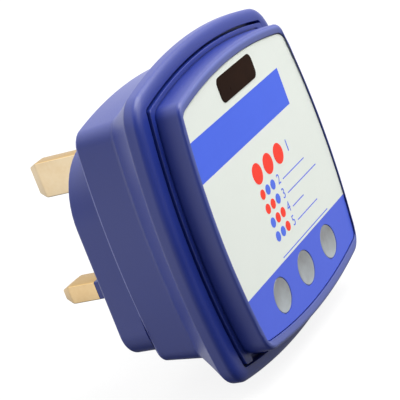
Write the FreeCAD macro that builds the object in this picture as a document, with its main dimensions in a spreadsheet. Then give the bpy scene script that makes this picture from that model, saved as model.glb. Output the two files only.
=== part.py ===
"""Outlet tester plug: a thirteen-amp plug-in socket tester with three indicator lamps.

The tester plugs in with its label facing the user. X runs to the user's right, Z up, and Y into the
wall, so the pins point along +Y. The origin is on the face that meets the socket, at the centre of
the earth pin. "Depth" below means distance from that face towards the user, along -Y.
"""
import FreeCAD, Part
import os

import Sketcher
from FreeCAD import Placement, Rotation, Vector

doc = FreeCAD.newDocument("outlet_tester_plug")

# ---------------------------------------------------------------------------------------------
# Driving sizes, in millimetres
# ---------------------------------------------------------------------------------------------
SIZES = {
    # The casing's outlines are one family: four shallow arcs about four shared centres.
    "side_centre": 124.3,       # mid-plane to the centre of the opposite side's arc
    "side_level": 11.8,         # how far below the earth pin the sides bulge most
    "top_centre": 101.5,        # the top arc's centre, below the earth pin
    "bottom_centre": 92.0,      # the bottom arc's centre, above the earth pin
    # Front cover, outside
    "cover_half_width": 28.4,
    "cover_top": 17.25,         # highest point above the earth pin
    "cover_drop": 39.85,        # lowest point below the earth pin
    "cover_top_corner": 2.7,
    "cover_bottom_corner": 3.4,
    "cover_height": 5.5,        # how far it stands out of the housing's flange
    "cover_round": 1.5,         # rounding of its front edge
    "cover_front_wall": 2.0,
    "cover_side_wall": 2.25,
    "foot_ledge": 1.1,          # the foot's overhang all round the cover
    "foot_corner": 0.6,
    "foot_proud": 0.35,         # foot's front above the flange's front
    "foot_groove_width": 0.5,   # shallow groove between the foot's lip and the cover's wall
    "foot_groove_depth": 0.4,
    "foot_gap": 0.35,           # dark joint line between foot and flange
    "pry_slot_width": 5.0,
    "pry_slot_inset": 7.7,      # slot's centre, inward of the foot's side
    "pry_slot_rise": 3.3,       # how high the slot's cut reaches above the foot's lowest point
    # Snap fit between cover and housing
    "ledge_depth": 1.9,         # the foot's seat, below the flange's front
    "ledge_width": 2.0,
    "skirt_length": 3.2,
    "skirt_gap": 0.2,
    "skirt_corner": 1.2,
    "hook_width": 8.0,
    "hook_reach": 0.8,
    "hook_thickness": 1.2,
    "hook_gap": 0.15,
    # Label
    "label_side": 1.8,          # cover's edge to the label's edge, at the sides
    "label_end": 2.4,           # the same at top and bottom
    "label_top_corner": 3.2,
    "label_bottom_corner": 2.8,
    "label_thickness": 0.25,
    "label_recess": 0.4,
    # Indicator windows
    "window_pitch": 12.83,
    "window_radius": 3.5,
    "window_gap": 0.1,
    "window_margin": 6.75,      # window's centre above the label's bottom
    "window_recess": 0.25,      # window's face below the label's
    "window_rim": 0.8,
    "window_rim_thickness": 1.0,
    # Housing
    "flange_side": 4.75,        # flange's width around the cover's opening, at the sides
    "flange_end": 2.75,         # the same at top and bottom
    "flange_top_corner": 5.0,
    "flange_bottom_corner": 7.2,
    "flange_thickness": 3.1,
    "flange_round": 1.4,
    "flare_depth": 8.0,
    "flare_hollow": 0.9,        # how far the flare sags below a straight slope
    "body_side_inset": 1.8,     # body's outline inside the cover's, at the sides
    "body_top_inset": 1.35,
    "body_bottom_inset": 0.55,
    "body_corner": 4.3,
    "body_depth": 8.8,
    "body_draft": 0.7,
    "plinth_depth": 6.6,
    "plinth_side_inset": 1.5,   # plinth's outline inside the body's, at the sides
    "plinth_top_inset": 6.5,
    "plinth_bottom_inset": 2.1,
    "plinth_shoulder": 14.0,
    "plinth_bottom_corner": 5.5,
    "plinth_round": 0.8,
    "wall": 2.0,
    "base_wall": 5.0,           # solid floor that carries the pins
    "step_wall": 1.8,           # wall at the step from plinth to body
    "bore_corner": 2.0,
    "slot_gap": 0.1,            # around each pin or sleeve
    # Pins of the thirteen-amp socket standard
    "pin_drop": 22.23,          # earth pin to the line and neutral pins
    "pin_pitch": 22.23,         # line pin to neutral pin
    "earth_pin_width": 3.97,
    "earth_pin_height": 7.92,
    "earth_pin_length": 22.73,
    "line_pin_width": 6.35,
    "line_pin_height": 3.97,
    "line_pin_length": 17.7,
    "tip_length": 2.3,
    "tip_taper": 1.3,           # on the wide faces
    "tip_end_taper": 0.9,       # on the narrow faces
    "sleeve_length": 8.7,
    "sleeve_wall": 0.6,
    "pin_head_margin": 1.5,
    "pin_head_thickness": 2.0,
    # Pin clamp
    "clamp_thickness": 3.5,
    "clamp_gap": 0.15,
    "clamp_margin": 0.6,        # beyond the pin heads
    "clamp_screw_margin": 2.9,  # upper clamp screws' centres, beyond the earth pin's head
    "clamp_screw_band": 6.6,    # strip of clamp above the lower heads, for two more screws
    "clamp_screw_inset": 2.7,
    # Circuit board
    "post_height": 12.0,
    "post_radius": 2.3,
    "post_top_level": 1.0,      # upper posts, above the earth pin
    "post_drop": 23.0,          # lower posts, below the earth pin
    "board_gap": 0.8,
    "board_thickness": 1.6,
    "board_corner": 3.0,
    # Screws
    "screw_radius": 1.25,
    "screw_gap": 0.2,
    "screw_head_radius": 2.2,
    "screw_head_height": 1.5,
    "screw_bite": 3.8,
    "drive_width": 0.7,
    "drive_length": 2.6,
    "drive_depth": 0.8,
    "contact_screw_radius": 1.2,
    "contact_screw_bite": 3.4,
    "washer_radius": 2.4,
    "washer_thickness": 0.5,
    # Contact strips
    "strip_thickness": 0.6,
    "strip_width": 5.0,
    "strip_reach": 4.8,
    "strip_margin": 2.6,
    "strip_past_board": 1.2,
    # Lamps and their light block
    "lamp_radius": 2.5,
    "lamp_length": 8.6,
    "lamp_flange": 0.4,
    "lamp_flange_height": 1.0,
    "lead_radius": 0.25,
    "lead_pitch": 2.54,
    "lead_tail": 1.5,
    "block_bore_gap": 0.3,
    "block_wall": 1.2,
    # Board components
    "resistor_radius": 1.6,
    "resistor_length": 8.5,
    "resistor_pitch": 5.4,
    "diode_radius": 1.3,
    "diode_length": 5.0,
    "part_lead_span": 2.2,
    "part_standoff": 0.4,
    "part_lead_radius": 0.35,
    "column_offset": 9.5,
    "first_row": 3.6,           # first row of components, above the earth pin
    "capacitor_width": 12.5,
    "capacitor_height": 5.0,
    "capacitor_depth": 8.0,
    "capacitor_drop": 19.6,
    "diode_drop": 12.4,         # the diodes' row, below the earth pin
    "capacitor_lead_pitch": 7.5,
}

sheet = doc.addObject("Spreadsheet::Sheet", "Sizes")
for row, (alias, millimetres) in enumerate(SIZES.items(), start=1):
    sheet.set(f"A{row}", alias)
    sheet.set(f"B{row}", str(millimetres))
    sheet.setAlias(f"B{row}", alias)
doc.recompute()


class Size:
    """A length as an expression on the sheet, with the value it has now."""

    def __init__(self, text, value):
        self.text, self.value = text, value

    def _with(self, sign, other, value):
        text = other.text if isinstance(other, Size) else repr(other)
        return Size(f"({self.text} {sign} {text})", value)

    def __add__(self, other):
        return self._with("+", other, self.value + number(other))

    def __sub__(self, other):
        return self._with("-", other, self.value - number(other))

    def __mul__(self, other):
        return self._with("*", other, self.value * number(other))

    def __truediv__(self, other):
        return self._with("/", other, self.value / number(other))

    def __neg__(self):
        return Size(f"(0 - {self.text})", -self.value)


def number(item):
    """The present value of a Size or of a plain number."""
    return item.value if isinstance(item, Size) else item


def bind(thing, **properties):
    """Tie each property of a document object to a Size; double underscores stand for dots."""
    for name, size in properties.items():
        thing.setExpression(name.replace("__", "."), size.text)


S = type("Sheet", (), {alias: Size(f"Sizes.{alias}", value) for alias, value in SIZES.items()})
ZERO = Size("0", 0.0)


# ---------------------------------------------------------------------------------------------
# Sketches and features
# ---------------------------------------------------------------------------------------------
def new_body(label):
    """An empty body whose label is its piece's name."""
    body = doc.addObject("PartDesign::Body", label)
    body.Label = label
    return body


def new_sketch(body, name, depth):
    """A sketch parallel to the socket face, at a depth; its normal points to the user."""
    plane = next(f for f in body.Origin.OriginFeatures if f.Role == "XZ_Plane")
    sketch = body.newObject("Sketcher::SketchObject", name)
    sketch.AttachmentSupport = (plane, [""])
    sketch.MapMode = "FlatFace"
    sketch.setExpression(".AttachmentOffset.Base.z", depth.text)
    return sketch


def constrain(sketch, kind, *where, size=None):
    """Add one constraint, and tie its value to a Size where it has one."""
    if size is None:
        sketch.addConstraint(Sketcher.Constraint(kind, *where))
    else:
        index = sketch.addConstraint(Sketcher.Constraint(kind, *where, size.value))
        sketch.setExpression(f"Constraints[{index}]", size.text)


def centre_at(sketch, item, point, x, z):
    """Hold one point of a sketch item at (x, z) from the sketch's origin."""
    for kind, size in (("DistanceX", x), ("DistanceY", z)):
        constrain(sketch, kind, -1, 1, item, point, size=size)


class Outline:
    """One outline of the casing: how far it reaches to the sides, up and down, and its corners."""

    def __init__(self, side, top, drop, top_corner, bottom_corner, straight=False):
        self.side, self.top, self.drop = side, top, drop
        self.top_corner, self.bottom_corner = top_corner, bottom_corner
        self.straight = straight

    def inset(self, gap, top_corner=None, bottom_corner=None):
        """The same outline, moved inward by a gap."""
        return Outline(self.side - gap, self.top - gap, self.drop - gap,
                       top_corner or self.top_corner - gap,
                       bottom_corner or self.bottom_corner - gap, self.straight)

    def draw(self, sketch):
        """Eight tangent arcs, or six and two straight sides, clockwise from the top."""
        side, top, drop = self.side.value, self.top.value, self.drop.value
        top_corner, bottom_corner = self.top_corner.value, self.bottom_corner.value
        level = -S.side_level.value
        big = {
            "top": (Vector(0, -S.top_centre.value, 0), top + S.top_centre.value),
            "right": (Vector(-S.side_centre.value, level, 0), side + S.side_centre.value),
            "bottom": (Vector(0, S.bottom_centre.value, 0), drop + S.bottom_centre.value),
        }
        upper = self._corner(big["top"], big["right"], top_corner, side, 1)
        lower = self._corner(big["bottom"], big["right"], bottom_corner, side, -1)
        mirror = lambda point: Vector(-point.x, point.y, 0)
        first = sketch.GeometryCount
        ends = [mirror(upper[1]), upper[1], upper[2], lower[2], lower[1],
                mirror(lower[1]), mirror(lower[2]), mirror(upper[2])]
        mids = [Vector(0, top, 0), upper[3], Vector(side, level, 0), lower[3],
                Vector(0, -drop, 0), mirror(lower[3]), Vector(-side, level, 0), mirror(upper[3])]
        for step in range(8):
            start, end = ends[step], ends[(step + 1) % 8]
            if self.straight and step in (2, 6):
                sketch.addGeometry(Part.LineSegment(start, end), False)
            else:
                sketch.addGeometry(Part.Arc(end, mids[step], start), False)
        self._tie(sketch, first)

    def _corner(self, flat, upright, radius, side, sign):
        """Centre, the two tangent points and the middle of a corner arc."""
        centre, reach = flat[0], flat[1] - radius
        if self.straight:
            x = side - radius
            z = centre.y + sign * (reach ** 2 - x ** 2) ** 0.5
            middle = Vector(x, z, 0)
            beside = middle + Vector(radius, 0, 0)
        else:
            other, other_reach = upright[0], upright[1] - radius
            apart = other - centre
            along = (reach ** 2 - other_reach ** 2 + apart.Length ** 2) / (2 * apart.Length)
            off = (reach ** 2 - along ** 2) ** 0.5
            across = Vector(-apart.y, apart.x, 0).normalize() * off
            foot = centre + Vector(apart).normalize() * along
            middle = max((foot + across, foot - across), key=lambda point: point.x)
            beside = middle + (middle - other).normalize() * radius
        on_flat = middle + (middle - centre).normalize() * radius
        bisector = (on_flat - middle) + (beside - middle)
        return middle, on_flat, beside, middle + bisector.normalize() * radius

    def _tie(self, sketch, first):
        """Constrain the outline fully, with every value tied to the sheet."""
        straight = (2, 6) if self.straight else ()
        for step in range(8):
            after = (step + 1) % 8
            # an arc drawn clockwise ends at its own start point; a line ends at its second point
            leave = 2 if step in straight else 1
            arrive = 1 if after in straight else 2
            constrain(sketch, "Tangent", first + step, leave, first + after, arrive)
        corners = {1: self.top_corner, 3: self.bottom_corner, 5: self.bottom_corner,
                   7: self.top_corner}
        for step, corner in corners.items():
            constrain(sketch, "Radius", first + step, size=corner)
        constrain(sketch, "Radius", first, size=self.top + S.top_centre)
        constrain(sketch, "Radius", first + 4, size=self.drop + S.bottom_centre)
        centre_at(sketch, first, 3, ZERO, -S.top_centre)
        centre_at(sketch, first + 4, 3, ZERO, S.bottom_centre)
        if self.straight:
            constrain(sketch, "DistanceX", -1, 1, first + 2, 1, size=self.side)
            constrain(sketch, "DistanceX", first + 6, 1, -1, 1, size=self.side)
            constrain(sketch, "Vertical", first + 2)
            constrain(sketch, "Vertical", first + 6)
        else:
            for step, sign in ((2, -1), (6, 1)):
                constrain(sketch, "Radius", first + step, size=self.side + S.side_centre)
                centre_at(sketch, first + step, 3, S.side_centre * sign, -S.side_level)


def rectangle(sketch, x, z, width, height):
    """A closed rectangle with its centre at (x, z)."""
    first = sketch.GeometryCount
    left, right = (x - width / 2), (x + width / 2)
    low, high = (z - height / 2), (z + height / 2)
    points = [Vector(a.value, b.value, 0) for a, b in
              ((left, low), (right, low), (right, high), (left, high))]
    for step in range(4):
        sketch.addGeometry(Part.LineSegment(points[step], points[(step + 1) % 4]), False)
    for step in range(4):
        constrain(sketch, "Coincident", first + step, 2, first + (step + 1) % 4, 1)
        constrain(sketch, "Horizontal" if step % 2 == 0 else "Vertical", first + step)
    centre_at(sketch, first, 1, left, low)
    centre_at(sketch, first + 2, 1, right, high)


def circle(sketch, x, z, radius):
    """A circle with its centre at (x, z)."""
    item = sketch.addGeometry(
        Part.Circle(Vector(number(x), number(z), 0), Vector(0, 0, 1), radius.value), False)
    centre_at(sketch, item, 3, x, z)
    constrain(sketch, "Radius", item, size=radius)


def feature(body, kind, name, profile, length):
    """A pad towards the user, or a pocket towards the socket face, of a given length."""
    item = body.newObject(f"PartDesign::{kind}", name)
    item.Profile = profile
    bind(item, Length=length)
    profile.Visibility = False
    return item


def pad(body, name, draw, depth, length):
    profile = new_sketch(body, f"{name}_sketch", depth)
    draw(profile)
    return feature(body, "Pad", name, profile, length)


def pocket(body, name, draw, depth, length):
    """A pocket that must remove material: its volume is compared."""
    doc.recompute()
    before = body.Shape.Volume
    profile = new_sketch(body, f"{name}_sketch", depth)
    draw(profile)
    item = feature(body, "Pocket", name, profile, length)
    doc.recompute()
    if not body.Shape.Volume < before:
        raise RuntimeError(f"{name} cuts nothing")
    return item


def loft(body, kind, name, sections):
    """A skin over outlines at several depths; straight between two, smooth over more."""
    sketches = []
    for index, (outline, depth) in enumerate(sections):
        profile = new_sketch(body, f"{name}_sketch_{index + 1}", depth)
        outline.draw(profile)
        profile.Visibility = False
        sketches.append(profile)
    item = body.newObject(f"PartDesign::{kind}", name)
    item.Profile = sketches[0]
    item.Sections = sketches[1:]
    item.Ruled = len(sketches) == 2
    return item


def round_edges(body, name, base, radius, chosen):
    """Fillet the edges of a feature that a test picks out."""
    doc.recompute()
    edges = [f"Edge{n}" for n, edge in enumerate(base.Shape.Edges, start=1) if chosen(edge)]
    item = body.newObject("PartDesign::Fillet", name)
    item.Base = (base, edges)
    bind(item, Radius=radius)
    return item


def lies_at(edge, depth):
    """Whether a whole edge lies at one depth."""
    box = edge.BoundBox
    return abs(box.YMin + depth.value) < 1e-4 and abs(box.YMax + depth.value) < 1e-4


# ---------------------------------------------------------------------------------------------
# Plain solids, placed by their centre across and their depth
# ---------------------------------------------------------------------------------------------
def place(item, x, depth, z):
    bind(item, Placement__Base__x=x, Placement__Base__y=-depth, Placement__Base__z=z)
    return item


def block(name, x, z, width, height, back, front):
    """A block centred at (x, z), from a back depth to a front depth."""
    item = doc.addObject("Part::Box", name)
    bind(item, Length=width, Width=front - back, Height=height)
    return place(item, x - width / 2, front, z - height / 2)


def rod(name, x, z, radius, back, front):
    """A round bar along the depth, from a back depth to a front depth."""
    item = doc.addObject("Part::Cylinder", name)
    item.Placement = Placement(Vector(), Rotation(Vector(1, 0, 0), 90))
    bind(item, Radius=radius, Height=front - back)
    return place(item, x, back, z)


def bar(name, x, z, depth, radius, length):
    """A round bar across the board, along X, centred at x."""
    item = doc.addObject("Part::Cylinder", name)
    item.Placement = Placement(Vector(), Rotation(Vector(0, 1, 0), 90))
    bind(item, Radius=radius, Height=length)
    return place(item, x - length / 2, depth, z)


def joined(name, solids):
    item = doc.addObject("Part::MultiFuse", name)
    item.Shapes = solids
    item.Refine = True
    return item


def cut(name, base, tools):
    item = doc.addObject("Part::Cut", name)
    item.Base = base
    item.Tool = tools[0] if len(tools) == 1 else joined(f"{name}_tools", tools)
    return item


def group(name, solids):
    """Identical pieces kept together as separate solids."""
    item = doc.addObject("Part::Compound", name)
    item.Links = solids
    return item


def piece(item, label):
    """Mark a finished piece: its label is its node's name."""
    item.Label = label
    pieces.append(item)
    return item


pieces = []

# ---------------------------------------------------------------------------------------------
# Depths and outlines that the pieces share
# ---------------------------------------------------------------------------------------------
flare_start = S.plinth_depth + S.body_depth
flange_back = flare_start + S.flare_depth
flange_front = flange_back + S.flange_thickness
cover_front = flange_front + S.cover_height
ledge = flange_front - S.ledge_depth
foot_front = flange_front + S.foot_proud
label_front = cover_front - S.label_recess
label_back = label_front - S.label_thickness
cover_inside = label_back - S.cover_front_wall
skirt_end = ledge - S.skirt_length
board_back = S.base_wall + S.post_height
board_front = board_back + S.board_thickness

cover_outline = Outline(S.cover_half_width, S.cover_top, S.cover_drop,
                        S.cover_top_corner, S.cover_bottom_corner)
foot_outline = cover_outline.inset(-S.foot_ledge, S.foot_corner, S.foot_corner)
opening_outline = foot_outline.inset(-S.foot_gap, S.foot_corner, S.foot_corner)
skirt_opening = opening_outline.inset(S.ledge_width, S.skirt_corner, S.skirt_corner)
skirt_outline = skirt_opening.inset(S.skirt_gap, S.skirt_corner, S.skirt_corner)
cover_bore = cover_outline.inset(S.cover_side_wall, S.skirt_corner, S.skirt_corner)
label_bed = Outline(S.cover_half_width - S.label_side, S.cover_top - S.label_end,
                    S.cover_drop - S.label_end, S.label_top_corner, S.label_bottom_corner)
flange_outline = Outline(opening_outline.side + S.flange_side, opening_outline.top + S.flange_end,
                         opening_outline.drop + S.flange_end,
                         S.flange_top_corner, S.flange_bottom_corner)
body_outline = Outline(S.cover_half_width - S.body_side_inset, S.cover_top - S.body_top_inset,
                       S.cover_drop - S.body_bottom_inset, S.body_corner, S.body_corner)
body_back_outline = body_outline.inset(S.body_draft)
plinth_outline = Outline(body_outline.side - S.plinth_side_inset,
                         body_outline.top - S.plinth_top_inset,
                         body_outline.drop - S.plinth_bottom_inset,
                         S.plinth_shoulder, S.plinth_bottom_corner, straight=True)
bore_outline = body_back_outline.inset(S.wall, S.bore_corner, S.bore_corner)
plinth_bore = plinth_outline.inset(S.wall)


def halfway(near, far):
    """The outline midway along the flare, drawn in by the flare's hollow."""
    middle = lambda a, b: (a + b) / 2
    return Outline(middle(near.side, far.side) - S.flare_hollow,
                   middle(near.top, far.top) - S.flare_hollow,
                   middle(near.drop, far.drop) - S.flare_hollow,
                   middle(near.top_corner, far.top_corner),
                   middle(near.bottom_corner, far.bottom_corner))


# Where the pins, posts and lamps stand: (x, z) pairs
earth_place = (ZERO, ZERO)
neutral_place = (-S.pin_pitch / 2, -S.pin_drop)
line_place = (S.pin_pitch / 2, -S.pin_drop)
line_head_half_width = S.line_pin_width / 2 + S.pin_head_margin
clamp_lower_half_width = S.pin_pitch / 2 + line_head_half_width + S.clamp_margin
board_outline = bore_outline.inset(S.board_gap, S.board_corner, S.board_corner)
post_x = (clamp_lower_half_width + bore_outline.side) / 2
post_places = [(post_x * sign, level) for level in (S.post_top_level, -S.post_drop)
               for sign in (-1, 1)]
window_level = S.window_margin - label_bed.drop
window_places = {"left": -S.window_pitch, "middle": ZERO, "right": S.window_pitch}

# ---------------------------------------------------------------------------------------------
# Rear housing: plinth, body, flare and flange in one moulding, hollow from the front
# ---------------------------------------------------------------------------------------------
housing = new_body("rear_housing")
plinth = pad(housing, "plinth", plinth_outline.draw, ZERO, S.plinth_depth)
round_edges(housing, "plinth_edge", plinth, S.plinth_round, lambda edge: lies_at(edge, ZERO))
loft(housing, "AdditiveLoft", "body_shell",
     [(body_back_outline, S.plinth_depth), (body_outline, flare_start)])
loft(housing, "AdditiveLoft", "flare",
     [(body_outline, flare_start), (halfway(body_outline, flange_outline),
                                    flare_start + S.flare_depth / 2),
      (flange_outline, flange_back)])
flange = pad(housing, "flange", flange_outline.draw, flange_back, S.flange_thickness)
round_edges(housing, "flange_edge", flange, S.flange_round,
            lambda edge: lies_at(edge, flange_front))

# the cover's seat, the skirt's opening, a taper down to the body's bore, and the plinth's bore
pocket(housing, "cover_seat", opening_outline.draw, flange_front, S.ledge_depth)
taper_start = skirt_end - S.hook_gap
taper_end = flare_start + S.wall / 2
pocket(housing, "skirt_opening", skirt_opening.draw, ledge, ledge - taper_start)
loft(housing, "SubtractiveLoft", "taper",
     [(skirt_opening, taper_start), (bore_outline, taper_end)])
step_inside = S.plinth_depth + S.step_wall
pocket(housing, "body_bore", bore_outline.draw, taper_end, taper_end - step_inside)
pocket(housing, "plinth_bore", plinth_bore.draw, step_inside, step_inside - S.base_wall)


def hook_profiles(reach, width):
    """Four rectangles, one at the middle of each wall, reaching out through the skirt."""
    def draw(sketch):
        depth = reach * 2
        for sign in (-1, 1):
            rectangle(sketch, skirt_outline.side * sign, -S.side_level, depth, width)
        rectangle(sketch, ZERO, skirt_outline.top, width, depth)
        rectangle(sketch, ZERO, -skirt_outline.drop, width, depth)
    return draw


# pockets that the cover's hooks snap into
pocket(housing, "hook_pockets",
       hook_profiles(S.hook_reach + S.hook_gap + S.skirt_gap, S.hook_width + S.hook_gap * 2),
       skirt_end + S.hook_thickness + S.hook_gap, S.hook_thickness + S.hook_gap * 2)


def posts(sketch):
    for x, z in post_places:
        circle(sketch, x, z, S.post_radius)


def post_holes(sketch):
    for x, z in post_places:
        circle(sketch, x, z, S.screw_radius)


def pin_slots(sketch):
    gap = S.slot_gap * 2
    rectangle(sketch, *earth_place, S.earth_pin_width + gap, S.earth_pin_height + gap)
    for x, z in (neutral_place, line_place):
        rectangle(sketch, x, z, S.line_pin_width + gap, S.line_pin_height + gap)


clamp_front = S.base_wall + S.clamp_thickness
head_half_height = S.line_pin_height / 2 + S.pin_head_margin
earth_head_half_width = S.earth_pin_width / 2 + S.pin_head_margin
clamp_upper_x = earth_head_half_width + S.clamp_screw_margin
clamp_upper_half_width = clamp_upper_x + S.screw_head_radius
clamp_upper_top = S.earth_pin_height / 2 + S.pin_head_margin + S.clamp_margin
clamp_lower_top = head_half_height + S.clamp_screw_band - S.pin_drop
clamp_lower_bottom = -S.pin_drop - head_half_height - S.clamp_margin
lower_screw = (clamp_lower_half_width - S.clamp_screw_inset, clamp_lower_top - S.clamp_screw_inset)
clamp_screw_places = [(-clamp_upper_x, ZERO), (clamp_upper_x, ZERO),
                      (-lower_screw[0], lower_screw[1]), lower_screw, (ZERO, -S.pin_drop)]


def clamp_holes(sketch):
    for x, z in clamp_screw_places:
        circle(sketch, x, z, S.screw_radius)


pad(housing, "board_posts", posts, S.base_wall, S.post_height)
pocket(housing, "post_holes", post_holes, board_back, S.screw_bite)
pocket(housing, "pin_slots", pin_slots, S.base_wall, S.base_wall)
pocket(housing, "clamp_screw_holes", clamp_holes, S.base_wall, S.screw_bite)
piece(housing, "rear_housing")

# ---------------------------------------------------------------------------------------------
# Front cover: foot, wall and front face, with a skirt and four hooks that snap into the housing
# ---------------------------------------------------------------------------------------------
cover = new_body("front_cover")


def foot_groove(sketch):
    """The band just outside the cover's wall."""
    cover_outline.inset(-S.foot_groove_width, S.cover_top_corner, S.cover_bottom_corner).draw(sketch)
    cover_outline.draw(sketch)


def pry_slots(sketch):
    """One slot near each end of the foot's lower edge; the cover's wall then closes its inner end."""
    for sign in (-1, 1):
        rectangle(sketch, (foot_outline.side - S.pry_slot_inset) * sign, -foot_outline.drop,
                  S.pry_slot_width, S.pry_slot_rise * 2)


def window_holes(sketch):
    for x in window_places.values():
        circle(sketch, x, window_level, S.window_radius + S.window_gap)


pad(cover, "foot", foot_outline.draw, ledge, foot_front - ledge)
pocket(cover, "pry_slots", pry_slots, foot_front, foot_front - ledge)
wall = pad(cover, "wall", cover_outline.draw, ledge, cover_front - ledge)
round_edges(cover, "front_edge", wall, S.cover_round, lambda edge: lies_at(edge, cover_front))
pocket(cover, "foot_groove", foot_groove, foot_front, S.foot_groove_depth)
pad(cover, "skirt", skirt_outline.draw, skirt_end, S.skirt_length)
pad(cover, "hooks", hook_profiles(S.hook_reach, S.hook_width), skirt_end, S.hook_thickness)
pocket(cover, "label_bed", label_bed.draw, cover_front, cover_front - label_back)
pocket(cover, "cover_bore", cover_bore.draw, cover_inside, cover_inside - skirt_end)
pocket(cover, "window_holes", window_holes, label_back, S.cover_front_wall)
piece(cover, "front_cover")

# ---------------------------------------------------------------------------------------------
# Label and indicator windows
# ---------------------------------------------------------------------------------------------
label = new_body("front_label")
pad(label, "sheet", label_bed.draw, label_back, S.label_thickness)
pocket(label, "window_holes_in_label", window_holes, label_front, S.label_thickness)
piece(label, "front_label")

window_front = label_front - S.window_recess
rim_back = cover_inside - S.window_rim_thickness
for side, x in window_places.items():
    lens = rod(f"lens_{side}", x, window_level, S.window_radius, cover_inside, window_front)
    rim = rod(f"lens_rim_{side}", x, window_level, S.window_radius + S.window_rim,
              rim_back, cover_inside)
    piece(joined(f"window_{side}_solid", [lens, rim]), f"window_{side}")

# ---------------------------------------------------------------------------------------------
# Pins: tapered tip, shank through the base, a head inside it and a boss for the contact screw
# ---------------------------------------------------------------------------------------------
head_back = S.base_wall
head_front = head_back + S.pin_head_thickness


def pin(label, at, width, height, length, core=None):
    """One pin; core is the thinner section's wall and length beneath a sleeve."""
    x, z = at
    tip = doc.addObject("Part::Wedge", f"{label}_tip")
    bind(tip, Xmin=ZERO, Xmax=width, Zmin=ZERO, Zmax=height, Ymin=ZERO, Ymax=S.tip_length)
    along, across = ((S.tip_taper, S.tip_end_taper) if width.value < height.value
                     else (S.tip_end_taper * 1.5, S.tip_end_taper))
    bind(tip, X2min=along, X2max=width - along, Z2min=across, Z2max=height - across)
    place(tip, x - width / 2, S.tip_length - length, z - height / 2)
    solids = [tip]
    root = S.tip_length - length
    if core:
        thin, reach = core
        solids += [block(f"{label}_blade", x, z, width, height, root, -reach),
                   block(f"{label}_core", x, z, width - thin * 2, height - thin * 2,
                         -reach, head_back)]
    else:
        solids.append(block(f"{label}_blade", x, z, width, height, root, head_back))
    margin = S.pin_head_margin * 2
    solids += [block(f"{label}_head", x, z, width + margin, height + margin,
                     head_back, head_front),
               block(f"{label}_boss", x, z, width, height, head_front, clamp_front)]
    screw_hole = rod(f"{label}_hole", x, z, S.contact_screw_radius,
                     clamp_front - S.contact_screw_bite, clamp_front)
    piece(cut(f"{label}_solid", joined(f"{label}_blank", solids), [screw_hole]), label)


pin("earth_pin", earth_place, S.earth_pin_width, S.earth_pin_height, S.earth_pin_length)
for name, at in (("neutral", neutral_place), ("line", line_place)):
    pin(f"{name}_pin", at, S.line_pin_width, S.line_pin_height, S.line_pin_length,
        core=(S.sleeve_wall, S.sleeve_length))
    x, z = at
    outer = block(f"{name}_sleeve_outer", x, z, S.line_pin_width, S.line_pin_height,
                  -S.sleeve_length, S.base_wall)
    inner = block(f"{name}_sleeve_inner", x, z, S.line_pin_width - S.sleeve_wall * 2,
                  S.line_pin_height - S.sleeve_wall * 2, -S.sleeve_length, S.base_wall)
    piece(cut(f"{name}_sleeve_solid", outer, [inner]), f"{name}_sleeve")

# ---------------------------------------------------------------------------------------------
# Pin clamp: holds the three heads against the base
# ---------------------------------------------------------------------------------------------
upper_height = clamp_upper_top - clamp_lower_top
lower_height = clamp_lower_top - clamp_lower_bottom
plate = joined("clamp_plate", [
    block("clamp_upper", ZERO, clamp_lower_top + upper_height / 2, clamp_upper_half_width * 2,
          upper_height, S.base_wall, clamp_front),
    block("clamp_lower", ZERO, clamp_lower_bottom + lower_height / 2, clamp_lower_half_width * 2,
          lower_height, S.base_wall, clamp_front)])
clamp_cuts = []
for name, (x, z), width, height in (
        ("earth", earth_place, S.earth_pin_width, S.earth_pin_height),
        ("neutral", neutral_place, S.line_pin_width, S.line_pin_height),
        ("line", line_place, S.line_pin_width, S.line_pin_height)):
    head = S.pin_head_margin * 2 + S.clamp_gap * 2
    clamp_cuts += [block(f"clamp_{name}_pocket", x, z, width + head, height + head,
                         head_back, head_front),
                   block(f"clamp_{name}_window", x, z, width + S.clamp_gap * 2,
                         height + S.clamp_gap * 2, head_front, clamp_front)]
clamp_cuts += [rod(f"clamp_hole_{n}", x, z, S.screw_radius + S.screw_gap, S.base_wall, clamp_front)
               for n, (x, z) in enumerate(clamp_screw_places, start=1)]
piece(cut("pin_clamp_solid", plate, clamp_cuts), "pin_clamp")


def screw(name, at, seat, radius, bite, head_radius):
    """A pan-head screw with a slot, its head resting on a seat and its shank going back from it."""
    x, z = at
    top = seat + S.screw_head_height
    blank = joined(f"{name}_blank", [rod(f"{name}_shank", x, z, radius, seat - bite, seat),
                                     rod(f"{name}_head", x, z, head_radius, seat, top)])
    slots = [block(f"{name}_slot_{n}", x, z, width, height, top - S.drive_depth, top)
             for n, (width, height) in enumerate(
                 ((S.drive_width, S.drive_length), (S.drive_length, S.drive_width)), start=1)]
    return cut(f"{name}_solid", blank, slots)


piece(group("clamp_screw_set", [
    screw(f"clamp_screw_{n}", at, clamp_front, S.screw_radius,
          S.clamp_thickness + S.screw_bite, S.screw_head_radius)
    for n, at in enumerate(clamp_screw_places, start=1)]), "clamp_screws")

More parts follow.
